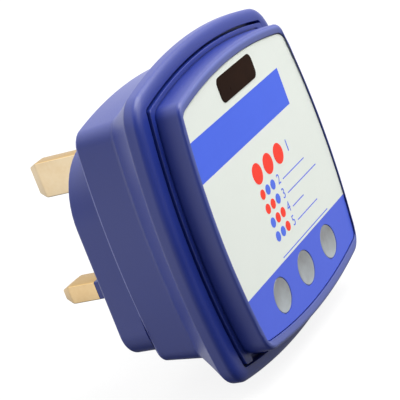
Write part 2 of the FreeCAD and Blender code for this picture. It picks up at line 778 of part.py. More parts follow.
# ---------------------------------------------------------------------------------------------
# Contact strips: a foot under the contact screw and a riser soldered through the board
# ---------------------------------------------------------------------------------------------
strip_front = clamp_front + S.strip_thickness
washer_front = strip_front + S.washer_thickness
pin_places = {"earth": (earth_place, -1), "neutral": (neutral_place, 1), "line": (line_place, 1)}
riser_places = {}
for name, ((x, z), toward) in pin_places.items():
    near, far = -S.strip_margin, S.strip_reach
    middle = z + (near + far) / 2 * toward
    riser_z = z + (far - S.strip_thickness / 2) * toward
    riser_places[name] = (x, riser_z)
    foot = block(f"{name}_foot", x, middle, S.strip_width, far - near, clamp_front, strip_front)
    riser = block(f"{name}_riser", x, riser_z, S.strip_width, S.strip_thickness,
                  clamp_front, board_front + S.strip_past_board)
    hole = rod(f"{name}_strip_hole", x, z, S.contact_screw_radius + S.screw_gap / 2,
               clamp_front, strip_front)
    piece(cut(f"{name}_contact_solid", joined(f"{name}_strip", [foot, riser]), [hole]),
          f"{name}_contact")
piece(group("contact_washer_set", [
    cut(f"{name}_washer", rod(f"{name}_washer_disc", *at, S.washer_radius,
                              strip_front, washer_front),
        [rod(f"{name}_washer_hole", *at, S.contact_screw_radius + S.screw_gap / 2,
             strip_front, washer_front)])
    for name, (at, _) in pin_places.items()]), "contact_washers")
piece(group("contact_screw_set", [
    screw(f"{name}_contact_screw", at, washer_front, S.contact_screw_radius,
          S.washer_thickness + S.strip_thickness + S.contact_screw_bite * 0.9,
          S.screw_head_radius)
    for name, (at, _) in pin_places.items()]), "contact_screws")

# ---------------------------------------------------------------------------------------------
# Light block: a dark block whose three bores stop each lamp lighting its neighbour's window
# ---------------------------------------------------------------------------------------------
lamp_flange_radius = S.lamp_radius + S.lamp_flange
block_bore = lamp_flange_radius + S.block_bore_gap
block_half_height = block_bore + S.block_wall
block_half_width = S.window_pitch + block_bore + S.block_wall
piece(cut("light_block_solid",
          block("light_block_blank", ZERO, window_level, block_half_width * 2,
                block_half_height * 2, board_front, rim_back),
          [rod(f"light_bore_{side}", x, window_level, block_bore, board_front, rim_back)
           for side, x in window_places.items()]), "light_block")

# ---------------------------------------------------------------------------------------------
# Lamps, standing on the board inside the light block
# ---------------------------------------------------------------------------------------------
lead_places = []
for side, x in window_places.items():
    flange_top = board_front + S.lamp_flange_height
    shoulder = board_front + S.lamp_length - S.lamp_radius
    dome = doc.addObject("Part::Sphere", f"lamp_{side}_dome")
    bind(dome, Radius=S.lamp_radius)
    place(dome, x, shoulder, window_level)
    piece(joined(f"lamp_{side}_solid", [
        rod(f"lamp_{side}_flange", x, window_level, lamp_flange_radius, board_front, flange_top),
        rod(f"lamp_{side}_barrel", x, window_level, S.lamp_radius, flange_top, shoulder),
        dome]), f"lamp_{side}")
    lead_places += [(x - S.lead_pitch / 2, window_level), (x + S.lead_pitch / 2, window_level)]
piece(group("lamp_lead_set", [
    rod(f"lamp_lead_{n}", *at, S.lead_radius, board_back - S.lead_tail, board_front)
    for n, at in enumerate(lead_places, start=1)]), "lamp_leads")

# ---------------------------------------------------------------------------------------------
# Resistors, diodes and the capacitor on the board's front
# ---------------------------------------------------------------------------------------------
part_lead_places = []


def axial(name, x, z, radius, length):
    """An axial component lying across the board; gives back its two bent leads."""
    axis = board_front + S.part_standoff + radius
    piece(bar(f"{name}_body", x, z, axis, radius, length), name)
    leads = []
    for n, sign in ((1, -1), (2, 1)):
        leg_x = x + (length / 2 + S.part_lead_span) * sign
        arm = bar(f"{name}_arm_{n}", x + (length + S.part_lead_span) / 2 * sign, z, axis,
                  S.part_lead_radius, S.part_lead_span)
        elbow = doc.addObject("Part::Sphere", f"{name}_elbow_{n}")
        bind(elbow, Radius=S.part_lead_radius)
        place(elbow, leg_x, axis, z)
        leg = rod(f"{name}_leg_{n}", leg_x, z, S.part_lead_radius, board_back - S.lead_tail, axis)
        leads.append(joined(f"{name}_lead_{n}", [arm, elbow, leg]))
        part_lead_places.append((leg_x, z))
    return leads


resistor_leads = []
for index in range(6):
    x = S.column_offset * (-1 if index % 2 == 0 else 1)
    z = S.first_row - S.resistor_pitch * (index // 2)
    resistor_leads += axial(f"resistor_{index + 1}", x, z, S.resistor_radius, S.resistor_length)
piece(group("resistor_lead_set", resistor_leads), "resistor_leads")

diode_leads = []
for index, x in enumerate(window_places.values(), start=1):
    diode_leads += axial(f"diode_{index}", x, -S.diode_drop, S.diode_radius, S.diode_length)
piece(group("diode_lead_set", diode_leads), "diode_leads")

capacitor_front = board_front + S.capacitor_depth
piece(block("capacitor_body", ZERO, -S.capacitor_drop, S.capacitor_width, S.capacitor_height,
            board_front, capacitor_front), "capacitor")
capacitor_lead_places = [(S.capacitor_lead_pitch / 2 * sign, -S.capacitor_drop)
                         for sign in (-1, 1)]
piece(group("capacitor_lead_set", [
    rod(f"capacitor_lead_{n}", x, z, S.part_lead_radius, board_back - S.lead_tail, board_front)
    for n, (x, z) in enumerate(capacitor_lead_places, start=1)]), "capacitor_leads")

# ---------------------------------------------------------------------------------------------
# Circuit board: every lead and contact strip is soldered where it passes through
# ---------------------------------------------------------------------------------------------
def board_holes(sketch):
    for x, z in post_places:
        circle(sketch, x, z, S.screw_radius + S.screw_gap)
    for x, z in lead_places:
        circle(sketch, x, z, S.lead_radius)
    for x, z in part_lead_places + capacitor_lead_places:
        circle(sketch, x, z, S.part_lead_radius)
    for x, z in riser_places.values():
        rectangle(sketch, x, z, S.strip_width, S.strip_thickness)


board = new_body("circuit_board")
pad(board, "laminate", board_outline.draw, board_back, S.board_thickness)
pocket(board, "board_holes", board_holes, board_front, S.board_thickness)
piece(board, "circuit_board")
piece(group("board_screw_set", [
    screw(f"board_screw_{n}", at, board_front, S.screw_radius, S.board_thickness + S.screw_bite,
          S.screw_head_radius)
    for n, at in enumerate(post_places, start=1)]), "board_screws")

doc.recompute()
for item in doc.Objects:
    bad = {"Invalid", "Error"} & set(item.State)
    if bad:
        raise RuntimeError(f"{item.Label}: {bad}")
os.makedirs("parts", exist_ok=True)
for item in pieces:
    shape = item.Shape
    if shape.isNull() or not shape.isValid():
        raise RuntimeError(f"{item.Label} has no valid shape")
    shape.exportStep(f"parts/{item.Label}.step")
    print(item.Label, len(shape.Solids), round(shape.Volume, 2))
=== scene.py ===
"""A plug-in socket tester: its pieces, materials, light and camera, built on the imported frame."""
import math

import bmesh
import bpy
import numpy as np
from mathutils import Matrix, Vector


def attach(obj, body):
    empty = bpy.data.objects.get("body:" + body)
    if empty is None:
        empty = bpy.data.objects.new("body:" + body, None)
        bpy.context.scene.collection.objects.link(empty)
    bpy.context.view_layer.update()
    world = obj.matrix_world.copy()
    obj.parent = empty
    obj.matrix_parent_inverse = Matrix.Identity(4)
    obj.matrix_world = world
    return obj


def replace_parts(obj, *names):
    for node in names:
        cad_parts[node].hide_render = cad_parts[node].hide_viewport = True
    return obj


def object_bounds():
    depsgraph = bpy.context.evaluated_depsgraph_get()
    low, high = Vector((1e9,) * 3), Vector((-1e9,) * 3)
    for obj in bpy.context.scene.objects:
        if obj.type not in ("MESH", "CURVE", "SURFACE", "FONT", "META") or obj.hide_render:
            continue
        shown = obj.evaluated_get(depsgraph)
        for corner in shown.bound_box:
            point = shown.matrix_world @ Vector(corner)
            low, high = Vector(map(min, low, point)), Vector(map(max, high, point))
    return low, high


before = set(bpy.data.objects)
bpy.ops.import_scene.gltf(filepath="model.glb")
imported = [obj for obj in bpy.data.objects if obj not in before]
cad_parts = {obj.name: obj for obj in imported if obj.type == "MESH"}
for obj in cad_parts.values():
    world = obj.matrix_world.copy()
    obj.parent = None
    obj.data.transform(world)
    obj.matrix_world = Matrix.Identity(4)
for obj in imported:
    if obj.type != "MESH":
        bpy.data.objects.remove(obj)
cad_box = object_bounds()
scene = bpy.context.scene
MM = 0.001                      # every size below is in millimetres unless it says otherwise

# --- Camera ---
# A long lens from the left and a little above, leaning over, so that the casing stands on its
# lower right corner. It looks at a point near the middle of the casing.
CAMERA_AZIMUTH, CAMERA_ELEVATION, CAMERA_ROLL = (
    math.radians(angle) for angle in (-58.451, 14.872, -20.993))
CAMERA_DISTANCE, CAMERA_TARGET = 356.614, Vector((5.903, -10.116, -13.926))
CAMERA_LENS, CAMERA_SENSOR = 153.474, 36.0
CAMERA_NEAR, CAMERA_FAR = 0.01, 50          # metres

towards_camera = Vector((math.sin(CAMERA_AZIMUTH) * math.cos(CAMERA_ELEVATION),
                         -math.cos(CAMERA_AZIMUTH) * math.cos(CAMERA_ELEVATION),
                         math.sin(CAMERA_ELEVATION)))
camera_data = bpy.data.cameras.new("camera")
camera_data.lens, camera_data.sensor_width = CAMERA_LENS, CAMERA_SENSOR
camera_data.clip_start, camera_data.clip_end = CAMERA_NEAR, CAMERA_FAR
camera = bpy.data.objects.new("camera", camera_data)
scene.collection.objects.link(camera)
upright = towards_camera.to_track_quat("Z", "Y").to_matrix()
camera.matrix_world = (Matrix.Translation((CAMERA_TARGET + towards_camera * CAMERA_DISTANCE) * MM)
                       @ upright.to_4x4() @ Matrix.Rotation(CAMERA_ROLL, 4, "Z"))
scene.camera = camera
scene.view_settings.view_transform = "Standard"

# --- Rear housing ---
# The back half of the casing: plinth, body, hollow flare and flange in one moulding of navy ABS
# with a fine spark-eroded grain, open at the front. Its floor carries the three pins and takes the
# clamp's five screws, and four pockets inside it hold the cover's snap hooks.
SIDE_CENTRE, SIDE_LEVEL, TOP_CENTRE, BOTTOM_CENTRE = 82.0, -11.8, -101.5, 92.0
FLATTER_SIDE = 124.3
ARC_STEPS = {"top": 14, "top_corner": 12, "side": 26, "bottom_corner": 14, "bottom": 14}
ROUND_STEPS, ROUND_SIDES = 8, 32
CIRCLE_WEIGHT = math.sqrt(0.5)      # makes a quarter of a true circle out of a three-point curve
SHARP_ABOVE = math.radians(28)      # an edge that turns more than this keeps its crease


class Outline:
    """A closed outline of eight arcs, reaching `side`, `top` and `drop` from the earth pin."""

    def __init__(self, side, top, drop, top_corner, bottom_corner, centre=SIDE_CENTRE,
                 straight=False):
        self.side, self.top, self.drop = side, top, drop
        self.top_corner, self.bottom_corner = top_corner, bottom_corner
        self.centre, self.straight = centre, straight

    def inset(self, gap, top_corner=None, bottom_corner=None):
        return Outline(self.side - gap, self.top - gap, self.drop - gap,
                       self.top_corner - gap if top_corner is None else top_corner,
                       self.bottom_corner - gap if bottom_corner is None else bottom_corner,
                       self.centre, self.straight)

    def corner_centre(self, end_centre, end_radius, corner, sign):
        """Where a corner's arc is centred, between the side and the top or bottom arc."""
        reach = end_radius - corner
        if self.straight:
            x = self.side - corner
            return x, end_centre + sign * math.sqrt(reach ** 2 - x ** 2)
        other = self.side + self.centre - corner
        ax, az, bx, bz = 0.0, end_centre, -self.centre, SIDE_LEVEL
        apart = math.hypot(bx - ax, bz - az)
        along = (reach ** 2 - other ** 2 + apart ** 2) / (2 * apart)
        across = math.sqrt(reach ** 2 - along ** 2)
        ux, uz = (bx - ax) / apart, (bz - az) / apart
        return max((ax + ux * along - uz * across * s, az + uz * along + ux * across * s)
                   for s in (-1, 1))

    def ring(self, depth):
        """Points right round the outline, clockwise from the top as seen from the front."""
        top_radius, bottom_radius = self.top - TOP_CENTRE, self.drop + BOTTOM_CENTRE
        upper = self.corner_centre(TOP_CENTRE, top_radius, self.top_corner, 1)
        lower = self.corner_centre(BOTTOM_CENTRE, bottom_radius, self.bottom_corner, -1)
        top_turn = math.atan2(upper[1] - TOP_CENTRE, upper[0])
        bottom_turn = math.atan2(lower[1] - BOTTOM_CENTRE, lower[0])
        half = arc(0, TOP_CENTRE, top_radius, math.pi / 2, top_turn, ARC_STEPS["top"])
        if self.straight:
            high_turn = low_turn = 0.0
            share = np.linspace(0, 1, ARC_STEPS["side"] + 1)[:, None]
            flank = ((1 - share) * np.array([[self.side, upper[1]]])
                     + share * np.array([[self.side, lower[1]]]))
        else:
            high_turn = math.atan2(upper[1] - SIDE_LEVEL, upper[0] + self.centre)
            low_turn = math.atan2(lower[1] - SIDE_LEVEL, lower[0] + self.centre)
            flank = arc(-self.centre, SIDE_LEVEL, self.side + self.centre, high_turn, low_turn,
                        ARC_STEPS["side"])
        parts = [half,
                 arc(*upper, self.top_corner, top_turn, high_turn, ARC_STEPS["top_corner"])[1:],
                 flank[1:],
                 arc(*lower, self.bottom_corner, low_turn, bottom_turn,
                     ARC_STEPS["bottom_corner"])[1:],
                 arc(0, BOTTOM_CENTRE, bottom_radius, bottom_turn, -math.pi / 2,
                     ARC_STEPS["bottom"])[1:]]
        right = np.concatenate(parts)
        left = right[-2:0:-1] * (-1, 1)
        flat = np.concatenate([right, left])
        return np.stack([flat[:, 0], np.full(len(flat), -depth), flat[:, 1]], axis=1)


def arc(x, z, radius, start, end, steps):
    turn = np.linspace(start, end, steps + 1)
    return np.stack([x + radius * np.cos(turn), z + radius * np.sin(turn)], axis=1)


def blended(near, far, share, hollow):
    """The outline part of the way from one to another, drawn in by a hollow deepest half way."""
    dip = 4 * hollow * share * (1 - share)

    def mix(size):
        start, end = getattr(near, size), getattr(far, size)
        return start + (end - start) * share

    return Outline(mix("side") - dip, mix("top") - dip, mix("drop") - dip,
                   mix("top_corner"), mix("bottom_corner"), mix("centre"))


def softened(stations):
    """Rings for (ring, rounding) pairs: a ring with a rounding becomes a smooth turn.

    A pair of roundings gives how far the turn reaches back and ahead of its ring.
    """
    rings = []
    for index, (ring, rounding) in enumerate(stations):
        if not rounding:
            rings.append(ring)
            continue
        reach_back, reach_ahead = rounding if isinstance(rounding, tuple) else (rounding, rounding)
        before, after = stations[index - 1][0] - ring, stations[index + 1][0] - ring
        start = ring + before / np.linalg.norm(before, axis=1)[:, None] * reach_back
        end = ring + after / np.linalg.norm(after, axis=1)[:, None] * reach_ahead
        for share in np.linspace(0, 1, ROUND_STEPS + 1):
            a, b, c = (1 - share) ** 2, 2 * CIRCLE_WEIGHT * share * (1 - share), share ** 2
            rings.append((start * a + ring * b + end * c) / (a + b + c))
    return rings


def skinned(name, rings, holes=()):
    """A closed mesh through the rings, its two ends filled round holes that join them."""
    mesh_maker = bmesh.new()

    def join(loops):
        for near, far in zip(loops, loops[1:]):
            for k, vertex in enumerate(near):
                after = (k + 1) % len(near)
                mesh_maker.faces.new((vertex, near[after], far[after], far[k]))

    loops = [[mesh_maker.verts.new(point * MM) for point in ring] for ring in rings]
    join(loops)
    ends = [[loops[0]], [loops[-1]]]
    for hole in holes:
        pair = [[mesh_maker.verts.new((x * MM, ring[0][1] * MM, z * MM)) for x, z in hole]
                for ring in (rings[0], rings[-1])]
        join(pair)
        for end, loop in zip(ends, pair):
            end.append(loop)
    for end in ends:
        edges = [mesh_maker.edges.get((loop[k - 1], loop[k]))
                 for loop in end for k in range(len(loop))]
        bmesh.ops.triangle_fill(mesh_maker, use_beauty=True, edges=edges)
    bmesh.ops.recalc_face_normals(mesh_maker, faces=mesh_maker.faces)
    return finished(name, mesh_maker)


def shaded(mesh):
    """Shades a mesh smooth, with the edges that turn sharply kept sharp."""
    mesh.shade_smooth()
    mesh.set_sharp_from_angle(angle=SHARP_ABOVE)


def finished(name, mesh_maker):
    """A shaded object from a bmesh."""
    mesh = bpy.data.meshes.new(name)
    mesh_maker.to_mesh(mesh)
    mesh_maker.free()
    shaded(mesh)
    made = bpy.data.objects.new(name, mesh)
    scene.collection.objects.link(made)
    return made


def disc_ring(x, z, radius, depth, sides=ROUND_SIDES):
    """A round ring that starts at the top and goes clockwise, as the outlines do."""
    turn = math.pi / 2 - np.arange(sides) * 2 * math.pi / sides
    return np.stack([x + radius * np.cos(turn), np.full(sides, -float(depth)),
                     z + radius * np.sin(turn)], axis=1)


def plain_mesh(made):
    """The mesh that an object comes to with its modifiers, or that its letters come to."""
    return bpy.data.meshes.new_from_object(
        made.evaluated_get(bpy.context.evaluated_depsgraph_get()))


def carved(made, blocks):
    """Cuts the blocks out of a piece, and sets its shading again."""
    for block in blocks:
        cut = made.modifiers.new("cut", "BOOLEAN")
        cut.operation, cut.solver, cut.object = "DIFFERENCE", "EXACT", block
        left = plain_mesh(made)
        made.modifiers.clear()
        made.data = left
        bpy.data.objects.remove(block)
    shaded(made.data)
    made.data.materials.clear()


def hooked_blocks(name, places, along, profile):
    """A block at each (x, z, outward x, outward z), `along` long, with a (reach, depth) profile."""
    blocks = bmesh.new()
    for x, z, way_x, way_z in places:
        ends = [[blocks.verts.new(((x + way_x * reach + way_z * shift) * MM, -depth * MM,
                                   (z + way_z * reach + way_x * shift) * MM))
                 for reach, depth in profile] for shift in (-along / 2, along / 2)]
        blocks.faces.new(ends[0])
        blocks.faces.new(ends[1][::-1])
        for k in range(len(profile)):
            blocks.faces.new((ends[0][k], ends[0][k - 1], ends[1][k - 1], ends[1][k]))
    bmesh.ops.recalc_face_normals(blocks, faces=blocks.faces)
    return finished(name, blocks)


def rectangle(x, z, width, height):
    return [(x + width / 2 * a, z + height / 2 * b)
            for a, b in ((-1, -1), (1, -1), (1, 1), (-1, 1))]


class Flow:
    """A socket of a node tree: arithmetic on it adds Math nodes, and node() adds any other node."""

    def __init__(self, tree, socket=None):
        self.tree, self.socket = tree, socket

    def node(self, kind, settings=None, inputs=None, out=0):
        """A new node with its settings, then its sockets' values or links; gives one output."""
        made = self.tree.nodes.new(kind)
        for name, value in (settings or {}).items():
            setattr(made, name, value)
        for name, value in (inputs or {}).items():
            if isinstance(value, Flow):
                self.tree.links.new(value.socket, made.inputs[name])
            else:
                made.inputs[name].default_value = value
        return Flow(self.tree, made.outputs[out] if len(made.outputs) else None)

    def math(self, operation, *values):
        return self.node("ShaderNodeMath", {"operation": operation}, dict(enumerate(values)))

    def __add__(self, other):
        return self.math("ADD", self, other)

    def __sub__(self, other):
        return self.math("SUBTRACT", self, other)

    def __rsub__(self, other):
        return self.math("SUBTRACT", other, self)

    def __mul__(self, other):
        return self.math("MULTIPLY", self, other)

    def __gt__(self, other):
        return self.math("GREATER_THAN", self, other)

    def __lt__(self, other):
        return self.math("LESS_THAN", self, other)

    __radd__, __rmul__ = __add__, __mul__

    def between(self, low, high):
        return (self > low) * (self < high)

    def ramp(self, start, end, low=0.0, high=1.0):
        """Goes smoothly from low to high while this flow goes from start to end."""
        return self.node("ShaderNodeMapRange", {"interpolation_type": "SMOOTHSTEP"}, {
            "Value": self, "From Min": start, "From Max": end, "To Min": low, "To Max": high})

    def axis(self, number):
        """One of the object's own coordinates, in millimetres."""
        place = self.node("ShaderNodeTexCoord", out="Object")
        return self.node("ShaderNodeSeparateXYZ", inputs={0: place}, out=number) * (1 / MM)

    def noise(self, scale, detail=2.0, roughness=0.5):
        """Noise around 0.5 on the object's own coordinates; scale is in turns per millimetre."""
        place = self.node("ShaderNodeTexCoord", out="Object")
        return self.node("ShaderNodeTexNoise", inputs={"Vector": place, "Scale": scale / MM,
                                                       "Detail": detail, "Roughness": roughness})

    def mixed(self, share, low, high):
        """One colour or the other, by share; the node's colours are its sockets 6, 7 and 2."""
        return self.node("ShaderNodeMix", {"data_type": "RGBA"}, {0: share, 6: low, 7: high}, out=2)

    def bump(self, strength, depth, height):
        """A relief as deep, in millimetres, as `depth` where the height flow goes from 0 to 1."""
        return self.node("ShaderNodeBump", inputs={
            "Strength": strength, "Distance": depth * MM, "Height": height})


def srgb(red, green, blue):
    """A colour written as 0 to 255, as linear light."""
    linear = [(v / 255 / 12.92 if v / 255 <= 0.04045 else ((v / 255 + 0.055) / 1.055) ** 2.4)
              for v in (red, green, blue)]
    return (*linear, 1.0)


def material(name, paint, **constants):
    """A Principled material: constants go on its sockets, and paint(flow) gives what varies."""
    made = bpy.data.materials.new(name)
    made.use_nodes = True
    shader = next(n for n in made.node_tree.nodes if n.type == "BSDF_PRINCIPLED")
    for socket, value in constants.items():
        shader.inputs[socket.replace("_", " ")].default_value = value
    for socket, value in paint(Flow(made.node_tree)).items():
        if isinstance(value, Flow):
            made.node_tree.links.new(value.socket, shader.inputs[socket])
        else:
            shader.inputs[socket].default_value = value
    return made


def moulded(name, colour, lighter, grain=0.006, gloss=0.38, front_highlight=None, edge=None):
    """Moulded plastic: clouded pigment, flow marks and a fine grain.

    Of the last two arguments, each (start, end, colour), the first paints a highlight: the piece is
    paler between those depths and pale in front of them. The second paints a thin pale band of
    highlight between its depths.
    """
    def paint(flow):
        cloud = flow.noise(0.05, 3.0)
        speck = flow.noise(2.2, 2.0, 0.7)
        texture = flow.noise(3.6, 2.0, 0.6)
        share = (cloud - 0.5) * 0.9 + (speck - 0.5) * 0.35 + 0.4
        pigment = flow.mixed(share, srgb(*colour), srgb(*lighter))
        # Painted highlight: the piece turns paler towards the front, between two depths.
        if front_highlight:
            start, end, pale = front_highlight
            highlit = (flow.axis(1) + (cloud - 0.5) * 0.3).ramp(-start, -end)
            pigment = flow.mixed(highlit, pigment, srgb(*pale))
        # Painted highlight: a thin pale band between two depths.
        if edge:
            start, end, pale = edge
            pigment = flow.mixed(flow.axis(1).between(-end, -start), pigment, srgb(*pale))
        return {"Base Color": pigment,
                "Roughness": (texture - 0.5) * 0.12 + (cloud - 0.5) * 0.08 + gloss,
                "Normal": flow.bump(0.35, grain, texture)}
    return material(name, paint, IOR=1.52)


PLINTH = Outline(25.3, 9.4, 36.1, 14.0, 5.8, straight=True)
BODY = Outline(26.6, 15.9, 39.3, 4.3, 4.3, FLATTER_SIDE)
BODY_DRAFT, FLARE_HOLLOW, FLARE_STEPS = 0.7, 0.15, 12
FLANGE = Outline(34.59, 21.44, 44.03, 7.2, 6.2)
FLANGE_CROWN = (1.35, 2.45)                 # its front edge's rounding, back and inwards
OPENING = Outline(30.55, 18.6, 41.3, 0.95, 0.95)
WALL, BORE_CORNER, SKIRT_CORNER, SKIRT_GAP = 2.0, 2.0, 1.2, 0.2
BORE = BODY.inset(BODY_DRAFT + WALL, BORE_CORNER, BORE_CORNER)
PLINTH_BORE = PLINTH.inset(WALL)
SKIRT_OPENING = Outline(27.85, 16.7, 39.3, SKIRT_CORNER, SKIRT_CORNER)
SKIRT = SKIRT_OPENING.inset(SKIRT_GAP, SKIRT_CORNER, SKIRT_CORNER)
PLINTH_MARGIN, OPENING_MARGIN = 1.3, 0.3    # flat faces are made from rings this far from an edge
PLINTH_FRONT, FLARE_BACK, FLANGE_BACK, FLANGE_FRONT = 6.6, 15.7, 23.5, 26.5
LEDGE, TAPER_FRONT, TAPER_BACK, STEP_INSIDE, FLOOR = 24.6, 21.25, 16.4, 8.4, 5.0

PIN_DROP, PIN_PITCH, SLOT_GAP = 22.23, 22.23, 0.1
EARTH_PIN, LINE_PIN = (3.97, 7.92), (6.35, 3.97)
PIN_PLACES = {"earth": (0.0, 0.0), "neutral": (-PIN_PITCH / 2, -PIN_DROP),
              "line": (PIN_PITCH / 2, -PIN_DROP)}
HOLE_RADIUS, HOLE_DEPTH = 1.25, 3.8         # for every screw that goes into the housing
CLAMP_SCREW_PLACES = [(-6.385, 0), (6.385, 0), (-13.69, -14.845), (13.69, -14.845), (0, -PIN_DROP)]

SKIRT_BACK, HOOK_THICKNESS, HOOK_WIDTH = 21.4, 1.2, 8.0
HOOK_REACH, HOOK_GAP, HOOK_ROOT, POCKET_MARGIN = 0.8, 0.15, 0.5, 0.1
HOOK_PLACES = [(SKIRT.side, SIDE_LEVEL, 1, 0), (-SKIRT.side, SIDE_LEVEL, -1, 0),
               (0, SKIRT.top, 0, 1), (0, -SKIRT.drop, 0, -1)]
CUT_PAST = 1.0                              # how far a cutter goes past what it cuts

NAVY, LIGHTER_NAVY = (23, 41, 124), (33, 52, 138)
BODY_EDGE_HIGHLIGHT = (6.6, 6.88, (122, 128, 192))    # painted highlight: a pale band along the body's back edge, between these depths

navy_plastic = moulded("navy_moulded_plastic", NAVY, LIGHTER_NAVY, edge=BODY_EDGE_HIGHLIGHT)
slots = [rectangle(*PIN_PLACES[side], width + SLOT_GAP * 2, height + SLOT_GAP * 2)
         for side, (width, height) in (("earth", EARTH_PIN), ("neutral", LINE_PIN),
                                       ("line", LINE_PIN))]
housing = skinned("housing_shell", softened([
    (PLINTH.inset(PLINTH_MARGIN).ring(0), 0),
    (PLINTH.ring(0), 0.8),
    (PLINTH.ring(PLINTH_FRONT), 0.15),
    (BODY.inset(BODY_DRAFT).ring(PLINTH_FRONT), 0.3),
    (BODY.ring(FLARE_BACK), 0.6),
    *[(blended(BODY, FLANGE, step / FLARE_STEPS, FLARE_HOLLOW).ring(
        FLARE_BACK + (FLANGE_BACK - FLARE_BACK) * step / FLARE_STEPS), 0)
      for step in range(1, FLARE_STEPS)],
    (FLANGE.ring(FLANGE_BACK), 0.3),
    (FLANGE.ring(FLANGE_FRONT), FLANGE_CROWN),
    (FLANGE.inset(FLANGE_CROWN[1]).ring(FLANGE_FRONT), 0),
    (OPENING.inset(-OPENING_MARGIN).ring(FLANGE_FRONT), 0),
    (OPENING.ring(FLANGE_FRONT), 0.12),
    (OPENING.ring(LEDGE), 0),
    (SKIRT_OPENING.ring(LEDGE), 0),
    (SKIRT_OPENING.ring(TAPER_FRONT), 0),
    (BORE.ring(TAPER_BACK), 0),
    (BORE.ring(STEP_INSIDE), 0),
    (PLINTH_BORE.ring(STEP_INSIDE), 0),
    (PLINTH_BORE.ring(FLOOR), 0)]), slots)
pocket_reach = HOOK_REACH + HOOK_GAP + SKIRT_GAP
pocket_back, pocket_front = SKIRT_BACK - POCKET_MARGIN, SKIRT_BACK + HOOK_THICKNESS + HOOK_GAP
pockets = hooked_blocks("hook_pockets", HOOK_PLACES, HOOK_WIDTH + HOOK_GAP * 2, [
    (-HOOK_ROOT, pocket_back), (pocket_reach, pocket_back),
    (pocket_reach, pocket_front), (-HOOK_ROOT, pocket_front)])
screw_holes = [skinned("clamp_screw_hole", [disc_ring(x, z, HOLE_RADIUS, FLOOR + CUT_PAST),
                                            disc_ring(x, z, HOLE_RADIUS, FLOOR - HOLE_DEPTH)])
               for x, z in CLAMP_SCREW_PLACES]
carved(housing, [pockets, *screw_holes])
housing.data.materials.append(navy_plastic)
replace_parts(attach(housing, "root"), "rear_housing")

# --- Board posts ---
# Four hollow posts of the same moulding, standing on the housing's floor. The circuit board rests
# on them, and a screw goes down each.
POST_PLACES = [(x, z) for x in (-20.145, 20.145) for z in (1.0, -23.0)]
POST_RADIUS, POST_FRONT, POST_SUNK = 2.3, 17.0, 0.2

for number, (x, z) in enumerate(POST_PLACES, start=1):
    post = skinned(f"board_post_{number}", softened([
        (disc_ring(x, z, POST_RADIUS, FLOOR - POST_SUNK), 0),
        (disc_ring(x, z, POST_RADIUS, POST_FRONT), 0.2),
        (disc_ring(x, z, HOLE_RADIUS, POST_FRONT), 0),
        (disc_ring(x, z, HOLE_RADIUS, POST_FRONT - HOLE_DEPTH), 0)]))
    post.data.materials.append(navy_plastic)
    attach(post, "root")

# --- Front cover ---
# The front half, in the same navy ABS: a foot that sits in the flange, a wall, and a rim round the
# label's bed. A skirt behind the foot goes into the housing and holds there with four snap hooks,
# and two slots in the foot let it be prised out.
GROOVE_WIDTH, COVER_WALL = 0.3, 2.25
COVER = Outline(28.4, 16.9, 39.65, 2.9, 4.7)
GROOVE = COVER.inset(-GROOVE_WIDTH, COVER.top_corner, COVER.bottom_corner)
FOOT = Outline(29.95, 18.05, 40.8, 0.8, 0.8)
LABEL_BED = Outline(27.6, 14.95, 37.5, 4.6, 3.4, FLATTER_SIDE)
COVER_BORE = COVER.inset(COVER_WALL, SKIRT_CORNER, SKIRT_CORNER)
FOOT_FRONT, GROOVE_FLOOR, COVER_FRONT, COVER_INSIDE = 26.85, 26.6, 32.0, 29.35
BED_FLOOR, RIM_INSIDE, COVER_ROUNDING, RIM_MARGIN = 31.35, 31.84, 0.95, 0.96
WINDOW_LEVEL, WINDOW_PITCH, WINDOW_HOLE, WINDOW_SIDES = -30.78, 12.83, 3.68, 48
WINDOW_PLACES = (-WINDOW_PITCH, 0, WINDOW_PITCH)
PRY_SLOT, PRY_STEPS, PRY_BITE = (19.3, 24.3), 9, 0.02
RIM_HIGHLIGHT = (31.65, 31.92, (82, 93, 160))      # painted highlight: the rim is paler from and to these depths
HOOK_LEAD = 0.55                            # the slope that lets a hook slide in

window_holes = [[(point[0], point[2])
                 for point in disc_ring(x, WINDOW_LEVEL, WINDOW_HOLE, 0, WINDOW_SIDES)]
                for x in WINDOW_PLACES]
cover = skinned("cover_shell", softened([
    (LABEL_BED.ring(BED_FLOOR), 0),
    (LABEL_BED.ring(RIM_INSIDE), 0.1),
    (COVER.inset(RIM_MARGIN).ring(COVER_FRONT), 0),
    (COVER.ring(COVER_FRONT), COVER_ROUNDING),
    (COVER.ring(GROOVE_FLOOR), 0),
    (GROOVE.ring(GROOVE_FLOOR), 0),
    (GROOVE.ring(FOOT_FRONT), 0.08),
    (FOOT.ring(FOOT_FRONT), 0.12),
    (FOOT.ring(LEDGE), 0),
    (SKIRT.ring(LEDGE), 0),
    (SKIRT.ring(SKIRT_BACK), 0),
    (COVER_BORE.ring(SKIRT_BACK), 0),
    (COVER_BORE.ring(COVER_INSIDE), 0)]), window_holes)


def pry_cutter(left, right):
    """A block below the cover's wall, its upper face following the wall's curve."""
    across = np.linspace(left, right, PRY_STEPS)
    radius = COVER.drop + BOTTOM_CENTRE
    wall = BOTTOM_CENTRE - np.sqrt(radius ** 2 - across ** 2)
    below = -FOOT.drop - CUT_PAST
    flat = [*zip(across, wall), (right, below), (left, below)]
    return skinned("pry_cutter", [np.array([(x, -depth, z) for x, z in flat])
                                  for depth in (LEDGE - PRY_BITE, FOOT_FRONT + CUT_PAST)])


carved(cover, [pry_cutter(*PRY_SLOT), pry_cutter(-PRY_SLOT[1], -PRY_SLOT[0])])
cover.data.materials.append(moulded("navy_moulded_cover", NAVY, LIGHTER_NAVY, front_highlight=RIM_HIGHLIGHT))
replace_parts(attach(cover, "root"), "front_cover")

